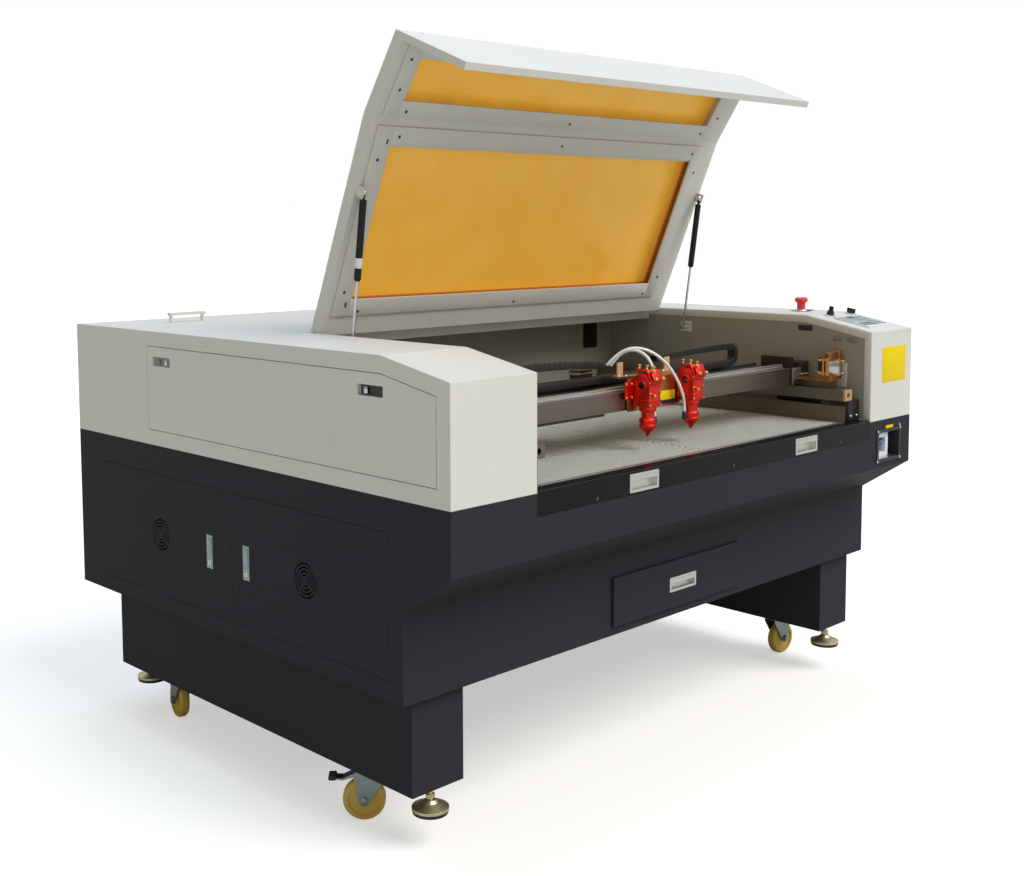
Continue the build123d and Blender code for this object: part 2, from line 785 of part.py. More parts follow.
# Lid outline in the closed position, from the rear edge over the break and down the flap
def lid_ribbon(outer, roof_inner, flap_inner):
    y_rear = hinge_y + lid_rear
    slant = tan(roof_slope)
    z_roof = roof_z - roof_inner
    y_break = roof_break + roof_inner * tan(roof_slope / 2)
    y_flap = front + flap_inner
    z_flap = z_roof - (y_break - y_flap) * slant
    y_out = roof_break + outer * tan(roof_slope / 2)
    z_out = roof_z - outer - (y_out - front - outer) * slant
    return [(y_rear, roof_z - outer), (y_out, roof_z - outer), (front + outer, z_out),
            (front + outer, lid_bottom), (y_flap, lid_bottom), (y_flap, z_flap), (y_break, z_roof),
            (y_rear, z_roof)]


def turn_lid(shape):
    return shape.rotate(Axis((0, hinge_y, hinge_z), (1, 0, 0)), -lid_open)


def lid_window(grow, depth0, depth1):
    x0 = lid_x0 + window_side - grow
    x1 = lid_x1 - window_side + grow
    main = block(x0, x1, main_window_front - grow, main_window_rear + grow,
                 roof_z - depth1, roof_z - depth0)
    run = roof_run / cos(roof_slope)
    along0 = run - slope_window_end - grow
    along1 = run - slope_window_start + grow
    front_pane = slope_block(x0, x1, along0, along1, -depth1, -depth0)
    return main, front_pane


def lid_frame():
    ribbon = lid_ribbon(0, lid_depth, flap_depth)
    lid = prism(ribbon, lid_x0, lid_x1)
    hollow = inset_prism(ribbon, lid_sheet, lid_x0 + lid_sheet, lid_x1 - lid_sheet)
    for keep in lid_window(window_lip + lid_sheet, -5, lid_depth + 5):
        hollow -= keep
    lid -= hollow
    for opening in lid_window(0, -5, lid_depth + 5):
        lid -= opening
    for seat in lid_window(window_lip, lid_sheet, lid_depth + 5):
        lid -= seat
    for x in hinge_places:
        half = hinge_length / 2 + 2
        lid -= block(x - half, x + half, -3, 3, roof_z + 0.1, roof_z + 20)
        lid += hinge_leaf(x, -1)
    for x, hand in ((strut_left_x, -1), (strut_right_x, 1)):
        lid += lid_bracket(x, hand)
    return turn_lid(lid)


def lid_pane(index):
    return turn_lid(lid_window(window_lip - 0.5, lid_sheet, lid_sheet + pane_thickness)[index])


# Struts hang from a bracket under the lid: eye and cylinder above, rod and socket below
def lid_bracket(x, hand):
    near = x + hand * (strut_eye_width / 2 + turn_gap)
    far = near + hand * 4
    bracket = block(min(near, far), max(near, far), strut_head_y - 14, strut_head_y + 14,
                    strut_head_z - 8, roof_z - lid_depth)
    bracket += rod((far, strut_head_y, strut_head_z),
                   (x - hand * strut_eye_width / 2, strut_head_y, strut_head_z), stud_radius)
    return bracket


def opened(y, z):
    a = radians(-lid_open)
    dy = y - hinge_y
    dz = z - hinge_z
    return hinge_y + dy * cos(a) - dz * sin(a), hinge_z + dy * sin(a) + dz * cos(a)


def strut_line():
    head_y, head_z = opened(strut_head_y, strut_head_z)
    dy = strut_foot_y - head_y
    dz = strut_foot_z - head_z
    length = hypot(dy, dz)
    return head_y, head_z, dy / length, dz / length, length


def along_strut(x, distance):
    head_y, head_z, uy, uz, length = strut_line()
    return (x, head_y + uy * distance, head_z + uz * distance)


def strut_cylinder(x):
    half = strut_eye_width / 2
    centre = along_strut(x, 0)
    eye = rod((x - half, centre[1], centre[2]), (x + half, centre[1], centre[2]),
              strut_eye_radius)
    start = strut_neck
    end = strut_neck + strut_cylinder_length
    body = eye + rod(centre, along_strut(x, start + 1), strut_rod_radius)
    body += rod(along_strut(x, start), along_strut(x, end), strut_radius)
    body -= rod(along_strut(x, start + 5), along_strut(x, end + 1), strut_rod_radius + shaft_gap)
    body -= rod((x - half - 1, centre[1], centre[2]), (x + half + 1, centre[1], centre[2]),
                stud_radius + shaft_gap)
    return body


def strut_rod(x):
    length = strut_line()[4]
    half = strut_eye_width / 2
    foot = along_strut(x, length)
    inside = strut_neck + strut_cylinder_length - 24
    shaft = rod(along_strut(x, inside), along_strut(x, length - 2), strut_rod_radius)
    shaft += rod((x - half, foot[1], foot[2]), (x + half, foot[1], foot[2]), strut_eye_radius)
    shaft += rod(along_strut(x, length - 16), along_strut(x, length - 4), strut_rod_radius + 1.5)
    return shaft


# Front rail: face, top ledge and the lip behind it, with holes for the pulls
def front_rail():
    x0 = chamber_left + seam
    x1 = chamber_right - seam
    top = rail_bottom + rail_height
    t = rail_sheet
    rail = block(x0, x1, front, front + rail_depth - 1, rail_bottom, top)
    rail -= block(x0 + t, x1 - t, front + t, front + rail_depth, rail_bottom - 1, top - t)
    for x in rail_pull_places:
        rail -= pull_hole(x, front, rail_bottom + rail_height / 2, rail_pull_width,
                          rail_pull_height, 2 * t)
    return rail


def pull_hole(x, y, z, pull_width, pull_height, reach):
    return block(x - pull_width / 2 + 5, x + pull_width / 2 - 5, y - 1, y + reach,
                 z - pull_height / 2 + 5, z + pull_height / 2 - 5)


# Flush pull: flange, cup and the finger lip across its upper third
def flush_pull(x, y, z, pull_width, pull_height):
    half_w = pull_width / 2
    half_h = pull_height / 2
    cup = 14
    face = Plane(origin=(x, y, z), x_dir=(1, 0, 0), z_dir=(0, -1, 0))
    pull = extrude(face * RectangleRounded(pull_width, pull_height, 4), amount=2)
    outer_w = half_w - 5.2
    outer_h = half_h - 5.2
    inner_w = half_w - 6.5
    inner_h = half_h - 6.5
    pull += block(x - outer_w, x + outer_w, y, y + cup, z - outer_h, z + outer_h)
    pull -= block(x - inner_w, x + inner_w, y - 3, y + cup - 1.3, z - inner_h, z + inner_h)
    lip_z = z + half_h - 7
    lip = [(y - 2, lip_z), (y - 2, lip_z - 9), (y + 1, lip_z - 11), (y + 2, lip_z - 10),
           (y, lip_z - 8), (y, lip_z)]
    pull += prism(lip, x - half_w + 6, x + half_w - 6)
    return pull


def rail_pulls():
    z = rail_bottom + rail_height / 2
    return [flush_pull(x, front, z, rail_pull_width, rail_pull_height)
            for x in rail_pull_places]


# Drawer: proud front panel and the tray behind it
def scrap_drawer():
    wall_y = front + set_back
    face_y = wall_y - turn_gap
    z1 = drawer_bottom + drawer_height
    panel = block(drawer_x0, drawer_x1, face_y - drawer_face, face_y, drawer_bottom, z1)
    t = drawer_sheet
    x0 = drawer_x0 + 8
    x1 = drawer_x1 - 8
    z0 = drawer_bottom + 5
    tray = block(x0, x1, face_y - 1, face_y + drawer_length, z0, z1 - 10)
    tray -= block(x0 + t, x1 - t, face_y + t, face_y + drawer_length - t, z0 + t, z1)
    pull_z = drawer_bottom + drawer_height / 2
    return panel + tray - pull_hole(drawer_pull_x, face_y - drawer_face, pull_z, drawer_pull_width,
                                    drawer_pull_height, drawer_face + 12)


def drawer_pull():
    y = front + set_back - turn_gap - drawer_face
    return flush_pull(drawer_pull_x, y, drawer_bottom + drawer_height / 2, drawer_pull_width,
                      drawer_pull_height)


# Doors: folded pans with a round grille and a pocket for the latch
def side_door(y0, y1, latch_y, grille_y):
    z0 = door_bottom
    z1 = door_bottom + door_height
    skin = -side
    pan = block(skin, skin + door_rim, y0, y1, z0, z1)
    pan -= block(skin + sheet, skin + door_rim + 1, y0 + sheet, y1 - sheet,
                 z0 + sheet, z1 - sheet)
    half_w = latch_width / 2
    half_h = latch_height / 2
    pan += block(skin + sheet, skin + 12, latch_y - half_w - 2, latch_y + half_w + 2,
                 latch_z - half_h - 2, latch_z + half_h + 2)
    pan -= block(skin - 1, skin + 10, latch_y - half_w, latch_y + half_w,
                 latch_z - half_h, latch_z + half_h)
    return pan - grille(grille_y, latch_z + 5)


# Latch lever: flush plate that swings out on the pin at its lower end
def door_latch(y):
    half_w = latch_width / 2 - turn_gap
    z0 = latch_z - latch_height / 2 + turn_gap
    z1 = latch_z + latch_height / 2 - turn_gap
    x = -side
    outline = [(z0 + 2, x), (z1, x), (z1, x + 3), (z0 + 10, x + 3), (z0 + 8, x + 7),
               (z0 + 2, x + 7)]
    face = make_face(Polyline(*[(px, y - half_w, pz) for pz, px in outline], close=True))
    return extrude(face, amount=2 * half_w, dir=(0, 1, 0))


# Access panel: folded pan whose top front corner follows the roof
def left_access_panel():
    skin = -side
    pan = prism(panel_outline(0), skin, skin + door_rim)
    pan -= inset_prism(panel_outline(0), sheet, skin + sheet, skin + door_rim + 1)
    for y in lock_places:
        z = lock_z()
        pan += block(skin + sheet, skin + 9, y - lock_width / 2 - 2, y + lock_width / 2 + 2,
                     z - lock_height / 2 - 2, z + lock_height / 2 + 2)
        pan -= block(skin - 1, skin + 7, y - lock_width / 2, y + lock_width / 2,
                     z - lock_height / 2, z + lock_height / 2)
    return pan


def lock_z():
    return panel_z1 - lock_drop - lock_height


def panel_lock(y):
    z = lock_z()
    z0 = z - lock_height / 2 + turn_gap
    z1 = z + lock_height / 2 - turn_gap
    y0 = y - lock_width / 2 + turn_gap
    y1 = y + lock_width / 2 - turn_gap - lock_travel
    skin = -side
    lock = block(skin + 1, skin + 7 - turn_gap, y0, y1, z0, z1)
    lock -= block(skin, skin + 4, y0 + 30, y1 - 22, z0 + 4, z1 - 4)
    return lock


# Rear hatch with its bridge handle
def rear_hatch():
    hatch = block(-hatch_half, hatch_half, hatch_front, hatch_rear, roof_z - door_rim, roof_z)
    hatch -= block(-hatch_half + sheet, hatch_half - sheet, hatch_front + sheet, hatch_rear - sheet,
                   roof_z - door_rim - 1, roof_z - sheet)
    y = hatch_front + handle_setback
    for x in (handle_x0, handle_x1):
        hatch += rod((x, y, roof_z - 1), (x, y, roof_z + 22), 5)
    hatch += block(handle_x0 - 8, handle_x1 + 8, y - 6, y + 6, roof_z + 20, roof_z + 28)
    return hatch


# Tube: glass body with its end caps
def laser_tube():
    body = rod((-tube_half, tube_y, tube_z), (tube_half, tube_y, tube_z), tube_radius - turn_gap)
    for hand in (-1, 1):
        body += rod((hand * tube_half, tube_y, tube_z), (hand * (tube_half + 25), tube_y, tube_z), 18)
    return body


# Breaker: flanged frame, recess and the breaker body
def breaker_frame():
    f = breaker_flange
    frame = block(breaker_x0 - f, breaker_x1 + f, front - trim_proud, front,
                  breaker_z0 - f, breaker_z1 + f)
    frame += block(breaker_x0, breaker_x1, front, front + breaker_depth, breaker_z0, breaker_z1)
    frame -= block(breaker_x0 + 2, breaker_x1 - 2, front - trim_proud - 1, front + breaker_depth - 2,
                   breaker_z0 + 2, breaker_z1 - 2)
    x, y, z = breaker_centre()
    frame += block(x - toggle_width, x + toggle_width, y, front + breaker_depth,
                   breaker_z0 + 2, breaker_z1 - 2)
    frame -= block(x - toggle_width / 2, x + toggle_width / 2, y - 1, y + 20,
                   z - toggle_height / 2 - 6, z + toggle_height / 2 + 6)
    return frame


def breaker_centre():
    return breaker_x0 + 2 + toggle_width + 4, front + 16, (breaker_z0 + breaker_z1) / 2


def breaker_toggle():
    x, y, z = breaker_centre()
    half = toggle_width / 2 - turn_gap
    toggle = rod((x - half, y + 8, z), (x + half, y + 8, z), 7)
    lever = [(y + 6, z - 2), (y - 8, z + 8), (y - 8, z + 13), (y + 4, z + 6)]
    return toggle + prism(lever, x - half, x + half)


# Controls on the right roof
def estop_button():
    r = estop_radius
    top = estop_height
    profile = [(0, -20), (estop_shaft_radius, -20), (estop_shaft_radius, 7), (r - 7, 7),
               (r - 7, top - 18), (r, top - 12), (r, top - 4), (r - 5, top), (0, top)]
    face = make_face(Polyline(*[(px, 0, pz) for px, pz in profile], close=True))
    return Pos(estop_x, estop_y, roof_z) * revolve(face, axis=Axis.Z)


def slope_frame(x, along):
    y, z = on_slope(along, 0)
    return Pos(x, y, z) * Rot(degrees(roof_slope), 0, 0)


def roof_knob(x, winged):
    shaft = knob_radius - 3 - shaft_gap
    knob = rod((0, 0, -10), (0, 0, 1), shaft) + rod((0, 0, turn_gap), (0, 0, 12), knob_radius)
    if winged:
        knob += block(-3, 3, -knob_radius - 2, knob_radius + 2, 6, 18)
    else:
        knob += rod((0, 0, 12), (0, 0, 16), knob_radius - 2)
        knob += block(-1.5, 1.5, -7, 7, 16, 30)
    return slope_frame(x, knob_run) * knob


def keypad():
    x = (keypad_x0 + keypad_x1) / 2
    run = keypad_run1 - keypad_run0
    slab = Plane.XY * RectangleRounded(keypad_x1 - keypad_x0, run, 8)
    return slope_frame(x, (keypad_run0 + keypad_run1) / 2) * extrude(slab, amount=keypad_thickness)


# Writing the sub-parts
save("base_shell", base_shell())
save("pedestals", *pedestals())
save("left_upper_shell", left_upper_shell())
save("right_upper_shell", right_upper_shell())
save("rear_upper_shell", rear_upper_shell())
save("chamber_back_wall", chamber_back_wall())
save("table_frame", table_frame())
save("honeycomb_bed", honeycomb_bed())
save("y_rail_beams", *y_rail_beams())
save("laser_tube", laser_tube())
save("breaker_frame", breaker_frame())
save("keypad", keypad())
save("front_rail", front_rail())
save("rail_pulls", *rail_pulls())
save("lid_frame", lid_frame())
save("lid_main_window", lid_pane(0))
save("lid_front_window", lid_pane(1))
for name, x in (("left", strut_left_x), ("right", strut_right_x)):
    save(f"{name}_strut_cylinder", strut_cylinder(x))
    save(f"{name}_strut_rod", strut_rod(x))
save("gantry_beam", gantry_beam())
save("gantry_guide_rail", gantry_guide_rail())
save("gantry_end_plates", *gantry_end_plates())
save("beam_mirror", beam_mirror())
save("x_cable_chains", *x_cable_chains())
save("head_plate", head_plate())
save("chain_brackets", *chain_brackets())
save("left_laser_head", laser_head(carriage_x - head_spacing / 2, 1))
save("right_laser_head", laser_head(carriage_x + head_spacing / 2, -1))
save("left_air_hose", hose("left_air_hose", left_hose_points))
save("right_air_hose", hose("right_air_hose", right_hose_points))
save("scrap_drawer", scrap_drawer())
save("drawer_pull", drawer_pull())
front_latch_y = front_door_y1 - latch_offset
rear_latch_y = rear_door_y0 + latch_offset
save("left_front_door", side_door(front_door_y0, front_door_y1, front_latch_y, front_grille_y))
save("left_rear_door", side_door(rear_door_y0, rear_door_y1, rear_latch_y, rear_grille_y))
save("front_door_latch", door_latch(front_latch_y))
save("rear_door_latch", door_latch(rear_latch_y))
save("left_access_panel", left_access_panel())
save("front_panel_lock", panel_lock(lock_places[0]))
save("rear_panel_lock", panel_lock(lock_places[1]))
save("rear_hatch", rear_hatch())
save("estop_button", estop_button())
save("key_switch", roof_knob(key_x, False))
save("selector_knob", roof_knob(selector_x, True))
save("breaker_toggle", breaker_toggle())
casters = (
    ("front_left", -pedestal_x, caster_front_y, 137),
    ("front_right", pedestal_x, caster_front_y, -5),
    ("rear_left", -pedestal_x, caster_rear_y, 77),
    ("rear_right", pedestal_x, caster_rear_y, 100))
for name, x, y, heading in casters:
    braked = name.startswith("front")
    save(f"{name}_caster_fork", caster_fork(x, y, heading, braked))
    save(f"{name}_wheel", caster_wheel(x, y, heading))
    if braked:
        save(f"{name}_brake_pedal", brake_pedal(x, y, heading))
feet = (
    ("front_left", -pedestal_x, foot_front_y), ("front_right", pedestal_x, foot_front_y),
    ("rear_left", -pedestal_x, foot_rear_y), ("rear_right", pedestal_x, foot_rear_y))
for name, x, y in feet:
    save(f"{name}_foot", levelling_foot(x, y))
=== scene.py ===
from math import atan, cos, pi, radians, sin

import bmesh
import bpy
from mathutils import Matrix, Vector


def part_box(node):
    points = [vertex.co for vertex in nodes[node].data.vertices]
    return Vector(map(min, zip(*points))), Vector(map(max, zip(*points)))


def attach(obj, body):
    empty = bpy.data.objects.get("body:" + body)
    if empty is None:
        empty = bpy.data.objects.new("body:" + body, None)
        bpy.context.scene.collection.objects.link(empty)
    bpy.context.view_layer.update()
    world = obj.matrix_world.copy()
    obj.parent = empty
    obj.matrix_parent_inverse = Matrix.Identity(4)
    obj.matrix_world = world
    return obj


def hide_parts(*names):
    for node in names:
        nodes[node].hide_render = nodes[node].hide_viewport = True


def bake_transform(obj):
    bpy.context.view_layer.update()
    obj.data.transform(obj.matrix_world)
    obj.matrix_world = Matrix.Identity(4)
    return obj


moved = Matrix.Translation
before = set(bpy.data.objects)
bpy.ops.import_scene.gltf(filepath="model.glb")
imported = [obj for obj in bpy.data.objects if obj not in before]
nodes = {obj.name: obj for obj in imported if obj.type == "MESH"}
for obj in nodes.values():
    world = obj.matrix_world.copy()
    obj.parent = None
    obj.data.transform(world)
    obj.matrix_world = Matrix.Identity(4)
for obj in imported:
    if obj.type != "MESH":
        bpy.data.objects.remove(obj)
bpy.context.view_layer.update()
scene = bpy.context.scene
print("frame loaded")

# camera, at the photographed viewpoint
viewPoint = {
    "place": (-2.6894, -2.6445, 1.3689),
    "azimuth": -43.362,
    "elevation": 4.922,
    "roll": 0.3597,
    "lens": 45.27,
    "shift": (0.0595, -0.0967),
}


def makeCamera(look):
    a, e, roll = (radians(look[key]) for key in ("azimuth", "elevation", "roll"))
    back = Vector((sin(a) * cos(e), -cos(a) * cos(e), sin(e)))
    level = Vector((cos(a), sin(a), 0))
    up = back.cross(level)
    right = level * cos(roll) - up * sin(roll)
    top = level * sin(roll) + up * cos(roll)
    data = bpy.data.cameras.new("camera")
    data.lens = look["lens"]
    data.sensor_width = 36
    data.shift_x, data.shift_y = look["shift"]
    data.clip_end = 100
    made = bpy.data.objects.new("camera", data)
    made.matrix_world = moved(look["place"]) @ Matrix((right, top, back)).transposed().to_4x4()
    scene.collection.objects.link(made)
    scene.camera = made


makeCamera(viewPoint)
scene.view_settings.view_transform = "Standard"


# small helpers for node trees
def feed(tree, socket, value):
    if isinstance(value, bpy.types.NodeSocket):
        tree.links.new(value, socket)
    else:
        socket.default_value = value


def addNode(tree, kind, inputs=None, **settings):
    made = tree.nodes.new("ShaderNode" + kind)
    for key, value in settings.items():
        setattr(made, key, value)
    for key, value in (inputs or {}).items():
        feed(tree, made.inputs[key], value)
    return made


def mixColour(tree, factor, first, second):
    mixer = tree.nodes.new("ShaderNodeMix")
    mixer.data_type = "RGBA"
    for index, value in ((0, factor), (6, first), (7, second)):
        feed(tree, mixer.inputs[index], value)
    return mixer.outputs[2]


def spread(tree, value, low, high, start=0.0, end=1.0):
    return addNode(tree, "MapRange", {
        "Value": value, "From Min": start, "From Max": end, "To Min": low, "To Max": high,
    }).outputs["Result"]


def shade(colour, amount):
    return tuple(min(1.0, part * amount) for part in colour[:3]) + (1.0,)


def objectPlace(tree, stretch=(1, 1, 1)):
    place = addNode(tree, "TexCoord").outputs["Object"]
    if stretch == (1, 1, 1):
        return place
    return addNode(tree, "Mapping", {"Vector": place, "Scale": stretch}).outputs["Vector"]


def noise(tree, place, scale, detail=2.0):
    return addNode(tree, "TexNoise", {"Vector": place, "Scale": scale, "Detail": detail}).outputs["Fac"]


def newMaterial(name):
    made = bpy.data.materials.new(name)
    made.use_nodes = True
    return made, made.node_tree, made.node_tree.nodes["Principled BSDF"]


def maths(tree, way, first, second):
    return addNode(tree, "Math", {0: first, 1: second}, operation=way).outputs[0]


def dot(tree, first, second):
    return addNode(tree, "VectorMath", {0: first, 1: second}, operation="DOT_PRODUCT").outputs["Value"]


# rounded look of folded edges, with how close a point is to one
def softEdge(tree, radius):
    soft = addNode(tree, "Bevel", {"Radius": radius}, samples=4).outputs["Normal"]
    flat = addNode(tree, "NewGeometry").outputs["Normal"]
    return soft, spread(tree, dot(tree, soft, flat), 1.0, 0.0, 0.78, 0.995)


def bump(tree, height, strength, distance, normal=None):
    inputs = {"Height": height, "Strength": strength, "Distance": distance}
    if normal is not None:
        inputs["Normal"] = normal
    return addNode(tree, "Bump", inputs).outputs["Normal"]


def inside(tree, low=(None, None, None), high=(None, None, None)):
    parts = addNode(tree, "SeparateXYZ", {"Vector": objectPlace(tree)})
    found = None
    for axis in range(3):
        for limit, way in ((low[axis], "GREATER_THAN"), (high[axis], "LESS_THAN")):
            if limit is None:
                continue
            test = maths(tree, way, parts.outputs[axis], limit)
            found = test if found is None else maths(tree, "MULTIPLY", found, test)
    return found


# powder coat: slow drift of tone, fine grain, folded edges painted lighter as wear and as a highlight
def paint(name, colour, roughness=0.42, grain=900.0, texture=0.12, drift=0.05, edge=0.35,
          gloss=0.4, coat=0.0, fold=0.0016, second=None, region=None, edgeHighlightTone=None):
    made, tree, shader = newMaterial(name)
    place = objectPlace(tree)
    cloud = noise(tree, place, 3.2, 3.0)
    fine = noise(tree, place, grain, 1.0)
    soft, near = softEdge(tree, fold)
    tone = mixColour(tree, cloud, shade(colour, 1 - drift), shade(colour, 1 + drift))
    if second is not None:
        tone = mixColour(tree, inside(tree, *region), tone, shade(second, 1))
    speck = mixColour(tree, spread(tree, fine, 0.0, 0.22), tone, shade(colour, 1.5))
    # edges lightened, partly as wear and partly as a painted highlight of the folds
    edgeWearAndHighlight = maths(tree, "MULTIPLY", near, edge)
    wearAndHighlightTone = shade(colour, 1.9) if edgeHighlightTone is None else shade(edgeHighlightTone, 1)
    feed(tree, shader.inputs["Base Color"], mixColour(tree, edgeWearAndHighlight, speck, wearAndHighlightTone))
    feed(tree, shader.inputs["Roughness"], spread(tree, cloud, roughness - 0.05, roughness + 0.06))
    feed(tree, shader.inputs["Normal"], bump(tree, fine, texture, 0.0004, soft))
    shader.inputs["Specular IOR Level"].default_value = gloss
    shader.inputs["Coat Weight"].default_value = coat
    shader.inputs["Coat Roughness"].default_value = 0.08
    return made


# bare or plated metal, brushed along the stretched way
def metal(name, colour, roughness=0.3, stretch=(1, 1, 1), scratch=160.0, texture=0.05, drift=0.08,
          edge=0.2, second=None, region=None, secondMetal=1.0):
    made, tree, shader = newMaterial(name)
    lines = noise(tree, objectPlace(tree, stretch), scratch, 3.0)
    cloud = noise(tree, objectPlace(tree), 14.0, 2.0)
    soft, near = softEdge(tree, 0.0008)
    tone = mixColour(tree, lines, shade(colour, 1 - drift), shade(colour, 1 + drift))
    tone = mixColour(tree, spread(tree, cloud, 0.0, 0.35), tone, shade(colour, 0.8))
    # edges lightened, partly as wear and partly as a painted highlight
    edgeWearAndHighlight = maths(tree, "MULTIPLY", near, edge)
    tone = mixColour(tree, edgeWearAndHighlight, tone, shade(colour, 1.5))
    if second is not None:
        where = inside(tree, *region)
        tone = mixColour(tree, where, tone, shade(second, 1))
        feed(tree, shader.inputs["Metallic"], spread(tree, where, 1.0, secondMetal))
    else:
        shader.inputs["Metallic"].default_value = 1.0
    feed(tree, shader.inputs["Base Color"], tone)
    feed(tree, shader.inputs["Roughness"], spread(tree, lines, roughness - 0.06, roughness + 0.1))
    feed(tree, shader.inputs["Normal"], bump(tree, lines, texture, 0.0003, soft))
    return made


# moulded plastic and rubber
def plastic(name, colour, roughness=0.45, grain=700.0, texture=0.08, drift=0.06, gloss=0.5,
            coat=0.0):
    made, tree, shader = newMaterial(name)
    place = objectPlace(tree)
    fine = noise(tree, place, grain, 2.0)
    cloud = noise(tree, place, 20.0, 2.0)
    soft, near = softEdge(tree, 0.0006)
    tone = mixColour(tree, cloud, shade(colour, 1 - drift), shade(colour, 1 + drift))
    # painted highlight: edges lightened
    tone = mixColour(tree, spread(tree, near, 0.0, 0.25), tone, shade(colour, 1.6))
    feed(tree, shader.inputs["Base Color"], tone)
    feed(tree, shader.inputs["Roughness"], spread(tree, fine, roughness - 0.05, roughness + 0.08))
    feed(tree, shader.inputs["Normal"], bump(tree, fine, texture, 0.0002, soft))
    shader.inputs["Specular IOR Level"].default_value = gloss
    shader.inputs["Coat Weight"].default_value = coat
    shader.inputs["Coat Roughness"].default_value = 0.06
    return made


# sheet acrylic behind its paper film: fibres, clouds, a soft sheen and a painted glow
def filmedAcrylic(name, pale, deep):
    made, tree, shader = newMaterial(name)
    cloud = noise(tree, objectPlace(tree), 9.0, 4.0)
    across = noise(tree, objectPlace(tree, (1, 8, 8)), 70.0, 2.0)
    along = noise(tree, objectPlace(tree, (8, 1, 1)), 70.0, 2.0)
    weave = maths(tree, "MULTIPLY", across, along)
    tone = mixColour(tree, spread(tree, cloud, 0.0, 1.0, 0.3, 0.7), deep, pale)
    tone = mixColour(tree, spread(tree, weave, 0.0, 0.5, 0.15, 0.4), tone, shade(deep, 0.86))
    feed(tree, shader.inputs["Base Color"], tone)
    feed(tree, shader.inputs["Roughness"], spread(tree, weave, 0.42, 0.55))
    feed(tree, shader.inputs["Normal"], bump(tree, weave, 0.06, 0.0003))
    feed(tree, shader.inputs["Emission Color"], tone)  # painted glow, standing in for daylight through the sheet
    shader.inputs["Emission Strength"].default_value = 0.19
    shader.inputs["Specular IOR Level"].default_value = 0.3
    shader.inputs["Coat Weight"].default_value = 0.3
    shader.inputs["Coat Roughness"].default_value = 0.24
    return made


def clearGlass(name, colour):
    made, tree, shader = newMaterial(name)
    drawn = noise(tree, objectPlace(tree, (0.2, 6, 6)), 12.0, 2.0)
    feed(tree, shader.inputs["Base Color"], mixColour(tree, drawn, shade(colour, 0.94), shade(colour, 1)))
    feed(tree, shader.inputs["Roughness"], spread(tree, drawn, 0.01, 0.06))
    shader.inputs["Transmission Weight"].default_value = 1.0
    shader.inputs["IOR"].default_value = 1.47
    return made


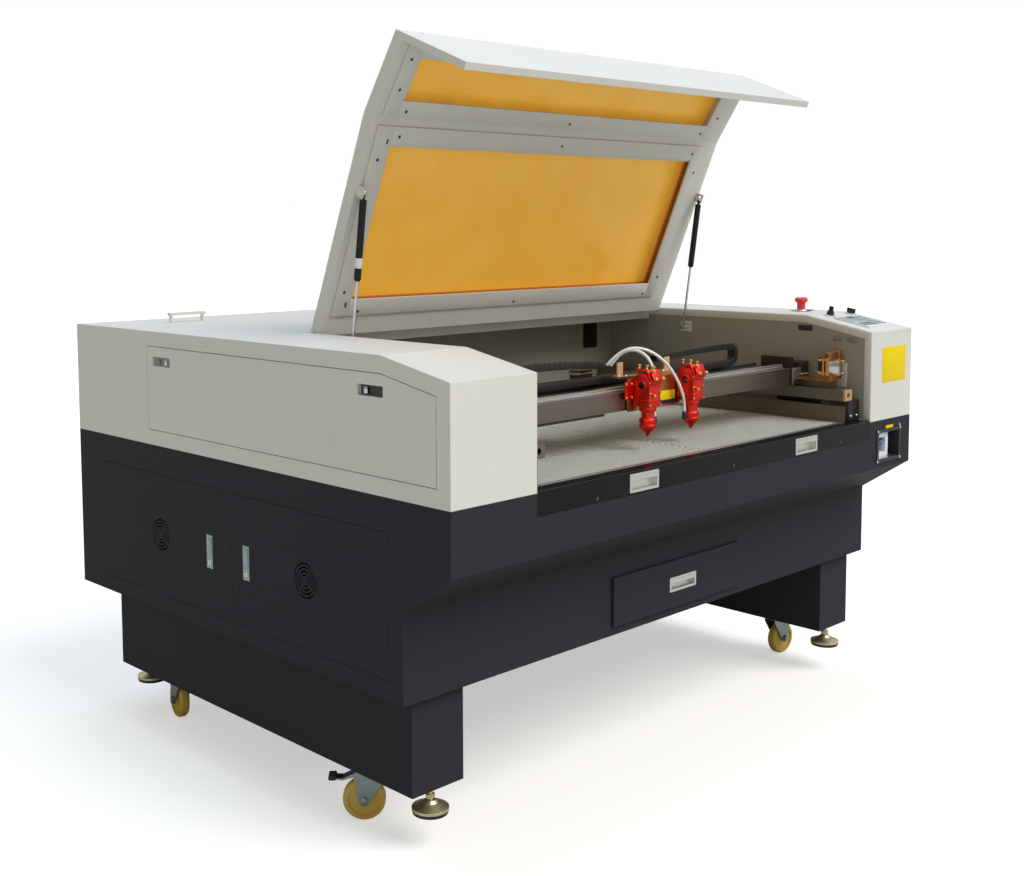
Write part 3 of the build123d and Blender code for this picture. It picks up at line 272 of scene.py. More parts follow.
creamTone = (0.62, 0.605, 0.56)
# painted shade: this darker tone stands in for the shade on the chamber's back wall and on the inner face of
# the right wall
insideShadeTone = (0.28, 0.262, 0.218)
charcoalTone = (0.030, 0.028, 0.035)
blackTone = (0.006, 0.006, 0.0065)
finishes = {
    "cream": paint("creamPowder", creamTone, 0.4, gloss=0.45),
    "creamPaintedShade": paint("creamPaintedShade", insideShadeTone, 0.45, gloss=0.3),
    # painted shade: the right shell's inner wall takes the darker shade tone inside this box
    "creamShellPaintedShade": paint("creamShellPaintedShade", creamTone, 0.4, gloss=0.45, second=shade(insideShadeTone, 0.84),
                        region=((0.7142, -0.7765, 0.81), (0.7165, None, 1.0815))),
    # the charcoal and black paints give their edges a pale painted highlight
    "charcoal": paint("charcoalPowder", charcoalTone, 0.55, 700.0, 0.2, 0.08, 0.6, 0.05,
                      edgeHighlightTone=(0.1, 0.1, 0.12)),
    "black": paint("blackGloss", blackTone, 0.16, 500.0, 0.02, 0.1, 0.5, 0.12, 0.0, 0.0012,
                   edgeHighlightTone=(0.3, 0.31, 0.33)),
    "tableBlack": paint("tableBrown", (0.19, 0.15, 0.11), 0.5, 500.0, 0.1, 0.15, 0.5, 0.2),
    "film": filmedAcrylic("amberFilm", (1.0, 0.55, 0.07, 1), (0.93, 0.47, 0.045, 1)),
    "acrylicEdge": plastic("acrylicEdge", (0.6, 0.2, 0.03), 0.25, gloss=0.6),
    "glass": clearGlass("tubeGlass", (0.9, 0.95, 0.95)),
    "chrome": metal("chromedSteel", (0.72, 0.73, 0.74), 0.16, (1, 1, 8), 60.0, 0.02, 0.04),
    "brightPull": metal("satinNickel", (0.74, 0.73, 0.7), 0.3, (6, 1, 1), 90.0, 0.03, 0.05),
    "latch": metal("latchChrome", (0.32, 0.4, 0.39), 0.28, (1, 1, 6), 90.0, 0.03, 0.08),
    "steel": metal("groundSteel", (0.6, 0.6, 0.6), 0.3, (0.3, 12, 12), 40.0, 0.008, 0.03),
    "endPlate": metal("endPlate", (0.1, 0.085, 0.07), 0.4, (1, 1, 8), 90.0, 0.03, 0.1),
    "strut": paint("strutBlack", (0.006, 0.006, 0.0065), 0.25, 300.0, 0.03, 0.1, 0.2, 0.3, 0.0, 0.0006),
    "beam": metal("beamAluminium", (0.24, 0.205, 0.17), 0.36, (1, 14, 14), 70.0, 0.05, 0.1,
                  second=(0.018, 0.018, 0.019), region=((None, -0.5138, None),), secondMetal=0.0),
    "rails": metal("railAluminium", (0.24, 0.205, 0.165), 0.4, (14, 1, 14), 70.0, 0.05, 0.1,
                   second=(0.5, 0.33, 0.17), region=((0.0, None, None), (None, -0.7575, None)),
                   secondMetal=0.3),
    "aluminium": metal("plainAluminium", (0.45, 0.44, 0.41), 0.38, (8, 1, 1), 90.0, 0.05, 0.1),
    "comb": plastic("combFoil", (0.7, 0.71, 0.65), 0.5, 240.0, 0.06, 0.08, 0.6),
    "bronze": metal("bronzeAnodised", (0.52, 0.25, 0.085), 0.3, (1, 1, 1), 200.0, 0.05, 0.12),
    "goldPlate": metal("goldAnodised", (0.62, 0.36, 0.13), 0.34, (10, 1, 1), 120.0, 0.05, 0.12),
    "tan": paint("tanBracket", (0.6, 0.38, 0.18), 0.4, 500.0, 0.1, 0.08, 0.4),
    "red": metal("redAnodised", (0.9, 0.045, 0.03), 0.32, (1, 1, 10), 120.0, 0.05, 0.12, 0.35),
    "chain": plastic("chainNylon", (0.013, 0.013, 0.014), 0.42, 500.0, 0.1),
    "hose": plastic("siliconeTube", (0.78, 0.79, 0.78), 0.35, 400.0, 0.04, 0.04, 0.5, 0.2),
    "toggleBlue": plastic("toggleBlue", (0.03, 0.13, 0.5), 0.3, coat=0.3),
    "stopRed": plastic("stopRed", (0.75, 0.035, 0.03), 0.35, coat=0.3),
    "zinc": metal("passivatedZinc", (0.27, 0.31, 0.32), 0.3, (1, 1, 1), 60.0, 0.06, 0.25),
    "footZinc": metal("footZinc", (0.66, 0.58, 0.36), 0.42, (1, 1, 4), 60.0, 0.05, 0.2,
                      second=(0.012, 0.012, 0.012), region=((None, None, None), (None, None, 0.0832)),
                      secondMetal=0.0),
    "tread": plastic("treadAmber", (0.66, 0.45, 0.07), 0.34, 120.0, 0.05, 0.12, 0.5, 0.25),
    "blackPlastic": plastic("blackPlastic", (0.014, 0.014, 0.015), 0.4),
    "greyPlastic": plastic("greyPlastic", (0.2, 0.2, 0.2), 0.4),
    "whitePlastic": plastic("whitePlastic", (0.7, 0.72, 0.74), 0.35, coat=0.2),
    "breaker": paint("breakerFrame", charcoalTone, 0.45, 500.0, 0.1, 0.08, 0.6, 0.3, 0.0, 0.001,
                     (0.62, 0.66, 0.72), ((0.7632, -0.7968, None), (0.8312, None, None))),
    "yellow": plastic("yellowPlate", (0.8, 0.58, 0.004), 0.5, 300.0, 0.04, 0.03, 0.15),
    "screen": plastic("screenGlass", (0.26, 0.34, 0.35), 0.2, 200.0, 0.01, 0.1, 0.5, 0.5),
    "buttonBlue": plastic("buttonTeal", (0.4, 0.48, 0.5), 0.4),
    "collarBlue": plastic("collarBlue", (0.02, 0.06, 0.4), 0.35),
    "gold": metal("goldScrew", (0.8, 0.55, 0.2), 0.25, (1, 1, 1), 300.0, 0.03, 0.08),
    "darkSteel": metal("darkScrew", (0.1, 0.1, 0.1), 0.4, (1, 1, 1), 300.0, 0.03, 0.1),
    "mirror": metal("mirrorFace", (0.6, 0.62, 0.66), 0.14, (1, 1, 1), 300.0, 0.01, 0.03),
    "rubber": plastic("blackRubber", (0.02, 0.02, 0.02), 0.6, 300.0, 0.15, 0.1, 0.3),
}
wearers = {
    "charcoal": ("base_shell", "pedestals", "scrap_drawer", "left_front_door", "left_rear_door"),
    "cream": ("left_upper_shell", "rear_upper_shell", "lid_frame", "left_access_panel", "rear_hatch"),
    "creamShellPaintedShade": ("right_upper_shell",),
    "creamPaintedShade": ("chamber_back_wall",),
    "black": ("front_rail",),
    "tableBlack": ("table_frame",),
    "film": ("lid_main_window", "lid_front_window"),
    "glass": ("laser_tube",),
    "chrome": ("left_strut_rod", "right_strut_rod"),
    "brightPull": ("rail_pulls", "drawer_pull"),
    "latch": ("front_door_latch", "rear_door_latch"),
    "greyPlastic": ("rear_panel_lock",),
    "blackPlastic": ("front_panel_lock", "key_switch", "selector_knob"),
    "whitePlastic": ("keypad",),
    "strut": ("left_strut_cylinder", "right_strut_cylinder"),
    "beam": ("gantry_beam",),
    "rails": ("y_rail_beams",),
    "aluminium": ("honeycomb_bed",),
    "endPlate": ("gantry_end_plates",),
    "goldPlate": ("head_plate",),
    "steel": ("gantry_guide_rail",),
    "bronze": ("beam_mirror",),
    "tan": ("chain_brackets",),
    "red": ("left_laser_head", "right_laser_head"),
    "chain": ("x_cable_chains",),
    "hose": ("left_air_hose", "right_air_hose"),
    "breaker": ("breaker_frame",),
    "toggleBlue": ("breaker_toggle",),
    "stopRed": ("estop_button",),
    "zinc": ("front_left_caster_fork", "front_right_caster_fork", "rear_left_caster_fork",
             "rear_right_caster_fork", "front_left_brake_pedal", "front_right_brake_pedal"),
    "footZinc": ("front_left_foot", "front_right_foot", "rear_left_foot", "rear_right_foot"),
    "tread": ("front_left_wheel", "front_right_wheel", "rear_left_wheel", "rear_right_wheel"),
}
for finishName, names in wearers.items():
    for nodeName in names:
        nodes[nodeName].data.materials[0] = finishes[finishName]
print("finishes made")


# shapes: each returns a small bmesh, which paste puts into a piece
def blockShape(low, high, round=0.0, segments=2):
    shape = bmesh.new()
    bmesh.ops.create_cube(shape, size=1.0)
    low, high = Vector(low), Vector(high)
    bmesh.ops.scale(shape, vec=high - low, verts=shape.verts)
    bmesh.ops.translate(shape, vec=(low + high) / 2, verts=shape.verts)
    if round:
        bmesh.ops.bevel(shape, geom=shape.edges[:], offset=round, offset_type="OFFSET",
                        segments=segments, profile=0.5, affect="EDGES", material=-1)
    return shape


def discShape(radius, height, sides=24, top=None, round=0.0):
    shape = bmesh.new()
    bmesh.ops.create_cone(shape, cap_ends=True, cap_tris=False, segments=sides, radius1=radius,
                          radius2=radius if top is None else top, depth=height)
    bmesh.ops.translate(shape, vec=(0, 0, height / 2), verts=shape.verts)
    if round:
        rims = [edge for edge in shape.edges if abs(edge.verts[0].co.z - edge.verts[1].co.z) < 1e-7]
        bmesh.ops.bevel(shape, geom=rims, offset=round, offset_type="OFFSET", segments=2,
                        profile=0.5, affect="EDGES", material=-1)
    return shape


def turnedShape(profile, sides=32):
    shape = bmesh.new()
    line = [shape.verts.new((radius, 0, height)) for radius, height in profile]
    edges = [shape.edges.new(pair) for pair in zip(line, line[1:])]
    if profile[0][0] > 0:
        edges.append(shape.edges.new((line[-1], line[0])))
    bmesh.ops.spin(shape, geom=line + edges, axis=(0, 0, 1), cent=(0, 0, 0), angle=2 * pi,
                   steps=sides, use_merge=True)
    bmesh.ops.remove_doubles(shape, verts=shape.verts, dist=1e-6)
    return shape


def plateShape(outline, depth, round=0.0):
    shape = bmesh.new()
    face = shape.faces.new([shape.verts.new((x, 0, z)) for x, z in outline])
    pushed = bmesh.ops.extrude_face_region(shape, geom=[face])["geom"]
    bmesh.ops.translate(shape, vec=(0, depth, 0),
                        verts=[part for part in pushed if isinstance(part, bmesh.types.BMVert)])
    if round:
        bmesh.ops.bevel(shape, geom=shape.edges[:], offset=round, offset_type="OFFSET",
                        segments=2, profile=0.5, affect="EDGES", material=-1)
    return shape


def screwShape(radius=0.004, height=0.0018):
    return turnedShape([(0, -0.0005), (radius, -0.0005), (radius, height * 0.5),
                        (radius * 0.7, height), (radius * 0.35, height),
                        (radius * 0.3, height * 0.55), (0, height * 0.55)], 12)


# lays a plate's outline along y instead of x
crossways = Matrix(((0, 1, 0, 0), (1, 0, 0, 0), (0, 0, 1, 0), (0, 0, 0, 1)))


def tipped(angle):
    return Matrix.Rotation(angle, 4, "X")


def facing(point, direction):
    return moved(point) @ Vector(direction).to_track_quat("Z", "Y").to_matrix().to_4x4()


def paste(piece, shape, places=(Matrix(),), finish=0):
    for face in shape.faces:
        face.material_index = finish
    mesh = bpy.data.meshes.new("shape")
    shape.to_mesh(mesh)
    shape.free()
    for place in places:
        count = len(piece.verts)
        piece.from_mesh(mesh)
        piece.verts.ensure_lookup_table()
        bmesh.ops.transform(piece, matrix=place, verts=piece.verts[count:])
    bpy.data.meshes.remove(mesh)


def finishPiece(name, piece, body, looks, replaced=(), smooth=40):
    bmesh.ops.recalc_face_normals(piece, faces=piece.faces)
    mesh = bpy.data.meshes.new(name)
    piece.to_mesh(mesh)
    piece.free()
    mesh.polygons.foreach_set("use_smooth", [True] * len(mesh.polygons))
    mesh.set_sharp_from_angle(angle=radians(smooth))
    for look in looks:
        mesh.materials.append(finishes[look])
    made = bpy.data.objects.new(name, mesh)
    scene.collection.objects.link(made)
    if body is not None:
        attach(made, body)
    if replaced:
        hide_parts(*replaced)
    return made


# air hoses, from the end of the left chain to the two barrels
airHose = {
    "diameter": 0.008,
    "left": [
        (-0.124, -0.527, 1.013), (-0.116, -0.540, 1.035), (-0.107, -0.561, 1.053),
        (-0.097, -0.590, 1.056), (-0.087, -0.614, 1.042), (-0.080, -0.628, 1.016),
        (-0.078, -0.632, 0.982), (-0.078, -0.6335, 0.936), (-0.078, -0.6335, 0.886),
    ],
    "right": [
        (-0.124, -0.514, 1.013), (-0.104, -0.529, 1.040), (-0.076, -0.549, 1.057),
        (-0.045, -0.571, 1.055), (-0.014, -0.592, 1.037), (0.012, -0.609, 1.008),
        (0.031, -0.622, 0.973), (0.043, -0.6305, 0.937), (0.048, -0.6335, 0.911),
        (0.048, -0.6335, 0.886),
    ],
    "lengths": {"left": 0.274, "right": 0.327},
}


def makeHose(name, points, node):
    data = bpy.data.curves.new(name, "CURVE")
    data.dimensions = "3D"
    data.bevel_depth = airHose["diameter"] / 2
    data.bevel_resolution = 5
    data.use_fill_caps = True
    line = data.splines.new("NURBS")
    line.points.add(len(points) - 1)
    for point, place in zip(line.points, points):
        point.co = (*place, 1)
    line.order_u = 3
    line.use_endpoint_u = True
    line.resolution_u = 10
    data.materials.append(finishes["hose"])
    made = bpy.data.objects.new(name, data)
    scene.collection.objects.link(made)
    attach(made, "carriage")
    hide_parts(node)


for hand in ("left", "right"):
    makeHose(hand + "AirHose", airHose[hand], hand + "_air_hose")
print("hoses laid")

# honeycomb bed: foil cells between a bright edge frame
comb = {
    "low": (-0.650, -0.7515), "high": (0.650, 0.1485), "top": 0.805, "edge": 0.014,
    "thickness": 0.020, "pitch": 0.012, "foil": 0.0006, "recess": 0.0015,
}


def combCell(size):
    cell = bmesh.new()
    arm = size["pitch"] / 3 ** 0.5
    low = size["top"] - size["thickness"] + 0.001
    high = size["top"] - size["recess"]
    half = size["foil"] / 2
    for turn in (90, 210, 330):
        wall = blockShape((0, -half, low), (arm, half, high))
        paste(cell, wall, [Matrix.Rotation(radians(turn), 4, "Z")])
    return cell


def makeComb(name, size, low, high):
    pitch = size["pitch"]
    row = bmesh.new()
    across = int((high[0] - low[0]) / pitch)
    steps = [moved((low[0] + (i + 0.5) * pitch, 0, 0)) for i in range(across)]
    paste(row, combCell(size), steps)
    step = pitch * 3 ** 0.5 / 2
    down = int((high[1] - low[1]) / step)
    field = bmesh.new()
    places = [moved((pitch / 2 * (j % 2), low[1] + (j + 0.5) * step, 0)) for j in range(down)]
    paste(field, row, places)
    finishPiece(name, field, "cabinet", ["comb"], ["honeycomb_bed"])


combInset = comb["edge"] - 0.006
makeComb("honeycombLeft", comb, (comb["low"][0] + combInset, comb["low"][1] + combInset),
         (0.0, comb["high"][1] - 0.004))
makeComb("honeycombRight", comb, (0.0, comb["low"][1] + combInset),
         (comb["high"][0] - combInset, comb["high"][1] - 0.004))


def makeCombEdge(size):
    edge = bmesh.new()
    x, y0, y1 = size["high"][0], size["low"][1], size["high"][1]
    w, low, top = size["edge"], size["top"] - size["thickness"], size["top"]
    for x0, x1 in ((-x, -x + w), (x - w, x)):
        paste(edge, blockShape((x0, y0, low), (x1, y1, top), 0.0012))
    for near, far in ((y0, y0 + w), (y1 - w, y1)):
        paste(edge, blockShape((-x + w, near, low), (x - w, far, top), 0.0012))
    finishPiece("bedEdge", edge, "cabinet", ["aluminium"], ["honeycomb_bed"])


makeCombEdge(comb)
print("bed built")

# cable chains: real links in a floor run, a bend and a sagging top run
chain = {
    "pitch": 0.0165, "width": 0.025, "height": 0.018, "wall": 0.0032, "bar": 0.0024, "y": -0.495,
    "lowZ": 0.975, "bendZ": 1.000, "bendRadius": 0.025, "topZ": 1.025, "endZ": 1.012, "dip": 0.004,
    "runs": {"Left": (-0.430, 0.040, -0.127), "Right": (0.445, 0.060, 0.097)},
}


def linkShape(size):
    link = bmesh.new()
    p, h, w, t = size["pitch"], size["height"], size["width"], size["wall"]
    cheek = [(-0.5 * p, -0.36 * h), (-0.34 * p, -0.5 * h), (0.4 * p, -0.5 * h), (0.62 * p, -0.3 * h),
             (0.62 * p, 0.3 * h), (0.4 * p, 0.5 * h), (-0.34 * p, 0.5 * h), (-0.5 * p, 0.36 * h)]
    for side in (-1, 1):
        y0 = side * w / 2 - (t if side > 0 else 0)
        paste(link, plateShape(cheek, t, 0.0004), [moved((0, y0, 0))])
    inner, bar = w / 2 - 0.0005, size["bar"]
    for z in (-0.5 * h, 0.5 * h - bar):
        paste(link, blockShape((-0.28 * p, -inner, z), (0.3 * p, inner, z + bar), 0.0006))
    return link


def linkPlaces(path, y, pitch):
    places = []
    for (x0, z0), (x1, z1) in zip(path, path[1:]):
        run = Vector((x1 - x0, 0, z1 - z0))
        count = max(1, int(run.length / pitch + 0.5))
        for i in range(count):
            spot = Vector((x0, y, z0)) + run * ((i + 0.5) / count)
            places.append((spot, run.normalized()))
    return places


def turnAlong(spot, way):
    side = Vector((0, 1, 0))
    return moved(spot) @ Matrix((way, side, way.cross(side))).transposed().to_4x4()


def makeChain(label, size, bend, floor, end):
    away = 1 if bend > 0 else -1
    y, p = size["y"], size["pitch"]
    arc = [(bend + away * size["bendRadius"] * sin(a), size["bendZ"] - size["bendRadius"] * cos(a))
           for a in (pi * k / 5 for k in range(6))]
    top, dip = size["topZ"], size["dip"]
    drop = top - size["endZ"] - dip
    sag = [(bend + (end - bend) * t, top - dip * t - drop * t ** 3) for t in (k / 8 for k in range(9))]
    parts = {
        "Floor": ([(floor, size["lowZ"]), (bend, size["lowZ"])], floor, 2 * bend - floor),
        "Bend": (arc, bend - 50.0, bend + 50.0),
        "Top": (sag, 2 * bend - end, end),
    }
    for part, (path, start, stop) in parts.items():
        run = bmesh.new()
        places = [turnAlong(spot, way) for spot, way in linkPlaces(path, y, p)]
        paste(run, linkShape(size), places)
        piece = finishPiece(f"chain{label}{part}", run, None, ["chain"], ["x_cable_chains"])
        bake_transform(piece)


for label, (bend, floor, end) in chain["runs"].items():
    makeChain(label, chain, bend, floor, end)
print("chains linked")

# laser heads
head = {
    "y": -0.6335, "half": 0.023, "front": -0.6565, "rear": -0.604, "low": 0.916, "top": 1.004,
    "nozzle": 0.840, "neck": 0.017, "sleeve": 0.0215, "port": 0.874, "hose": 0.0285,
    "heads": {"left": (-0.1065, 1), "right": (0.0765, -1)},
}


def springScrew(length):
    return turnedShape([(0, 0), (0.0022, 0), (0.0022, length * 0.2), (0.0036, length * 0.22),
                        (0.0036, length * 0.3), (0.0024, length * 0.34), (0.0036, length * 0.42),
                        (0.0024, length * 0.5), (0.0036, length * 0.58), (0.0024, length * 0.66),
                        (0.0048, length * 0.7), (0.0048, length * 0.95), (0.004, length), (0, length)], 12)


def makeHead(hand, size, x, hoseSide):
    piece = bmesh.new()
    y, half, low, top = size["y"], size["half"], size["low"], size["top"]
    y0, y1 = size["front"], size["rear"]
    outline = [(y0, low), (y0, top - 0.026), (y0 + 0.012, top - 0.003), (y1 - 0.016, top - 0.003),
               (y1, top - 0.018), (y1, low)]
    paste(piece, plateShape(outline, 2 * half, 0.0015), [moved((x - half, 0, 0)) @ crossways])
    wide = half + 0.0012
    for z in (low + 0.012, low + 0.05):  # thin bands round the block
        paste(piece, blockShape((x - wide, y0 - 0.0012, z), (x + wide, y1, z + 0.006), 0.0008))
    tilt = moved((x, y0 + 0.004, top - 0.012)) @ tipped(radians(-25))
    paste(piece, blockShape((-half + 0.001, -0.0045, -0.019), (half - 0.001, 0.0025, 0.019), 0.001), [tilt])
    paste(piece, blockShape((-half + 0.004, -0.012, -0.015), (half - 0.004, -0.008, 0.015), 0.001), [tilt])
    corner = [(-0.014, -0.011), (0.014, -0.011), (-0.014, 0.011)]
    paste(piece, springScrew(0.016), [tilt @ facing((u, -0.003, v), (0, -1, 0)) for u, v in corner], 1)
    slant = moved((x, y + 0.006, top - 0.001)) @ Matrix.Rotation(radians(12), 4, "Y")
    paste(piece, blockShape((-half + 0.002, -0.018, 0), (half - 0.002, 0.018, 0.005), 0.001), [slant])
    paste(piece, springScrew(0.013), [slant @ moved((u, v, 0.004)) for u, v in
                                      ((-0.014, -0.012), (0.014, -0.012), (-0.014, 0.012))], 1)
    for side in (-1, 1):  # beam ports on both sides
        rim = [(0.0095, 0), (0.0135, 0), (0.0135, 0.0025),
               (0.0125, 0.0035), (0.0105, 0.0035), (0.0095, 0.002)]
        place = facing((x + side * half, y + 0.002, top - 0.034), (side, 0, 0))
        paste(piece, turnedShape(rim, 28), [place])
        paste(piece, discShape(0.0098, 0.0012, 28), [place], 3)
    sleeve, neck, tip = size["sleeve"], size["neck"], size["nozzle"]
    cut = sleeve - 0.0012
    barrel = [(0, tip), (0.0032, tip), (0.0045, tip + 0.004), (0.0075, tip + 0.009),
              (sleeve - 0.001, tip + 0.021), (sleeve, tip + 0.023), (sleeve, tip + 0.030), (cut, tip + 0.031),
              (cut, tip + 0.034), (sleeve, tip + 0.035), (sleeve, tip + 0.043), (cut, tip + 0.045),
              (neck, tip + 0.047), (neck, low - 0.013), (neck + 0.004, low - 0.012),
              (neck + 0.005, low - 0.010), (neck + 0.005, low), (0, low)]
    paste(piece, turnedShape(barrel, 40), [moved((x, y, 0))])
    paste(piece, discShape(0.0034, 0.002, 16), [moved((x, y, tip - 0.0002))], 3)
    knurl = discShape(0.0045, 0.007, 16, 0.004, 0.0005)  # thumb screw of the barrel clamp
    paste(piece, knurl, [facing((x - 0.008, y0 - 0.001, low + 0.03), (0, -1, 0))], 1)
    fx = x + (-0.040 if hand == "left" else 0.036)
    paste(piece, blockShape((fx - 0.016, -0.6065, 0.933), (fx + 0.016, -0.6016, 0.979), 0.001))
    spots = [(fx + u, -0.6065, z) for u in (-0.011, 0.011) for z in (0.939, 0.973)]
    paste(piece, screwShape(0.0032, 0.0025), [facing(spot, (0, -1, 0)) for spot in spots], 1)
    edges = [(x + side * (half - 0.002), y0 - 0.001, low + z)
             for side in (-1, 1) for z in (0.006, 0.036, 0.062)]
    paste(piece, screwShape(0.0026, 0.002), [facing(spot, (0, -1, 0)) for spot in edges], 1)
    port = x + hoseSide * size["hose"]
    z = size["port"]
    stub = discShape(0.0045, size["hose"] - sleeve + 0.004, 16)
    paste(piece, stub, [facing((x + hoseSide * (sleeve - 0.003), y, z), (hoseSide, 0, 0))], 2)
    elbow = [(0, -0.0065), (0.005, -0.0065), (0.006, -0.0055), (0.006, 0.009), (0.0055, 0.010), (0, 0.010)]
    paste(piece, turnedShape(elbow, 20), [moved((port, y, z))], 2)
    paste(piece, discShape(0.0056, 0.004, 20, 0.0052, 0.0006), [moved((port, y, z + 0.010))], 4)
    looks = ["red", "gold", "blackPlastic", "blackPlastic", "collarBlue"]
    finishPiece(hand + "LaserHead", piece, "carriage", looks, [hand + "_laser_head"])


for hand, (x, hoseSide) in head["heads"].items():
    makeHead(hand, head, x, hoseSide)
print("heads built")

# carriage: bare label plate, dark belt clamp and bracket screws
carriage = {
    "plate": ((-0.0305, -0.6028, 0.919), (0.0475, -0.6012, 0.943)),
    "skirt": ((-0.095, -0.6035, 0.908), (0.066, -0.5985, 0.9185)),
    "brackets": (-0.102, 0.083), "bracketTop": 0.9855,
}


def makeCarriage(size):
    piece = bmesh.new()
    paste(piece, blockShape(*size["plate"], 0.0004))
    paste(piece, blockShape(*size["skirt"], 0.001), finish=1)
    spots = [(x + u, -0.5475, size["bracketTop"]) for x in size["brackets"] for u in (-0.014, 0.014)]
    paste(piece, screwShape(0.0034, 0.003), [facing(spot, (0, 0, 1)) for spot in spots], 2)
    finishPiece("carriageTrim", piece, "carriage", ["yellow", "blackPlastic", "chrome"])


makeCarriage(carriage)

# gantry ends: bright bracket, belt housing, drive block and the corner mirror
gantry = {
    "bracket": ((0.618, -0.6020, 0.903), (0.662, -0.5985, 0.953)),
    "housing": ((0.660, -0.600, 0.9265), (0.708, -0.545, 0.968)),
    "motor": ((-0.186, -0.4735, 0.930), (-0.133, -0.4390, 1.000)),
    "mirror": (0.672, -0.702, 0.958),
    "post": ((0.690, -0.712, 0.9255), (0.701, -0.690, 1.006)), "arm": 0.640,
    "strip": ((-0.600, -0.592, 0.8985), (-0.226, -0.566, 0.9052)),
}


def makeGantryEnds(size):
    piece = bmesh.new()
    paste(piece, blockShape(*size["bracket"], 0.0008))
    paste(piece, blockShape(*size["housing"], 0.003), finish=1)
    paste(piece, blockShape(*size["motor"], 0.002), finish=1)
    (x0, y0, _), (x1, y1, _) = size["motor"]
    for z in (0.942, 0.988):
        paste(piece, blockShape((x0 - 0.002, y0 - 0.001, z), (x1 + 0.002, y1 + 0.001, z + 0.006), 0.001))
    spots = [(0.626, -0.602, 0.912), (0.654, -0.602, 0.912), (0.640, -0.602, 0.945)]
    paste(piece, screwShape(0.0035, 0.0025), [facing(spot, (0, -1, 0)) for spot in spots], 1)
    paste(piece, blockShape(*size["strip"], 0.0008), finish=1)
    gold = [(0.671 + 0.013 * k, -0.600, 0.931) for k in range(3)]
    paste(piece, screwShape(0.0036, 0.004), [facing(spot, (0, -1, 0)) for spot in gold], 2)
    finishPiece("gantryEnds", piece, "gantry", ["aluminium", "blackPlastic", "gold"])


def makeMirror(size):
    piece = bmesh.new()
    paste(piece, blockShape(*size["post"], 0.001))
    (_, y0, z0), (x1, y1, z1) = size["post"]
    arm = size["arm"]
    paste(piece, blockShape((arm, y0, z0), (x1, y1, z0 + 0.010), 0.001))
    paste(piece, blockShape((arm, y0 + 0.003, 0.982), (x1, y1 - 0.003, z1 - 0.002), 0.001))
    aim = facing(size["mirror"], (-0.74, -0.67, 0))
    paste(piece, blockShape((-0.021, -0.024, -0.006), (0.021, 0.024, -0.001), 0.001), [aim])
    paste(piece, blockShape((-0.016, -0.018, -0.001), (0.016, 0.018, 0.0015), 0.0008), [aim], 1)
    knobs = [(x1 - 0.0005, -0.701, z) for z in (0.934, 0.965, 0.998)]
    paste(piece, discShape(0.006, 0.006, 18, None, 0.0008), [facing(knob, (1, 0, 0)) for knob in knobs], 2)
    paste(piece, springScrew(0.014), [facing((0.696, y0, z), (0, -1, 0)) for z in (0.940, 0.975)], 3)
    finishPiece("cornerMirror", piece, "gantry", ["bronze", "mirror", "blackPlastic", "gold"])


makeGantryEnds(gantry)
makeMirror(gantry)
print("gantry dressed")

# chamber fittings on the right wall and under the rails
chamber = {
    "wall": 0.715, "thin": 0.0034,
    "feet": ((0.655, -0.763, 0.8075), (0.7145, -0.705, 0.8665)),
    "cover": (-0.722, -0.690, 0.898, 0.970),
    "switch": (-0.606, -0.560, 1.058, 1.074),
    "clips": ((-0.753, -0.722, 1.031, 1.043), (-0.706, -0.677, 1.034, 1.046)),
    "bracket": (-0.640, -0.500, 0.846, 0.860),
    "rim": 0.022, "brow": 1.063, "roof": 1.104, "front": -0.7985, "bend": -0.5845, "rear": 0.150,
}


def makeChamberFittings(size):
    piece = bmesh.new()
    low, high = size["feet"]
    paste(piece, blockShape(low, high, 0.0015))
    paste(piece, blockShape((-0.6955, low[1], low[2]), (-0.655, high[1], high[2]), 0.0015))
    for x, z in ((0.667, 0.822), (0.700, 0.822)):
        paste(piece, screwShape(0.0045, 0.003), [facing((x, low[1], z), (0, -1, 0))], 1)
    wall = size["wall"]
    y0, y1, z0, z1 = size["switch"]
    paste(piece, blockShape((wall - size["thin"], y0, z0), (wall, y1, z1), 0.0012))
    for y0, y1, z0, z1 in size["clips"]:
        paste(piece, blockShape((wall - size["thin"], y0, z0), (wall, y1, z1), 0.0012), finish=2)
    y0, y1, z0, z1 = size["cover"]
    paste(piece, blockShape((wall - 0.002, y0, z0), (wall, y1, z1), 0.0006), finish=3)
    spots = [(wall - 0.002, (y0 + y1) / 2, z) for z in (z0 + 0.008, z1 - 0.008)]
    paste(piece, screwShape(0.003, 0.0015), [facing(spot, (-1, 0, 0)) for spot in spots], 1)
    paste(piece, screwShape(0.005, 0.003), [facing((wall, -0.490, 0.847), (-1, 0, 0))], 1)
    y0, y1, z0, z1 = size["bracket"]
    paste(piece, blockShape((wall - 0.020, y0, z0), (wall, y1, z1), 0.0015))
    rim, front, bend, rear = size["rim"], size["front"], size["bend"], size["rear"]
    outline = [(front + 0.0003, 0.8085), (front + 0.0003, size["brow"] - 0.001), (bend, size["roof"] - 0.001),
               (rear, size["roof"] - 0.001), (rear, size["roof"] - rim), (bend, size["roof"] - rim),
               (front + rim, size["brow"] - rim + 0.003), (front + rim, 0.8085)]
    toWall = moved((wall - 0.0022, 0, 0)) @ crossways
    paste(piece, plateShape(outline, 0.0024, 0.0009), [toWall], 3)
    looks = ["blackPlastic", "steel", "greyPlastic", "cream"]
    finishPiece("chamberFittings", piece, "cabinet", looks)


makeChamberFittings(chamber)

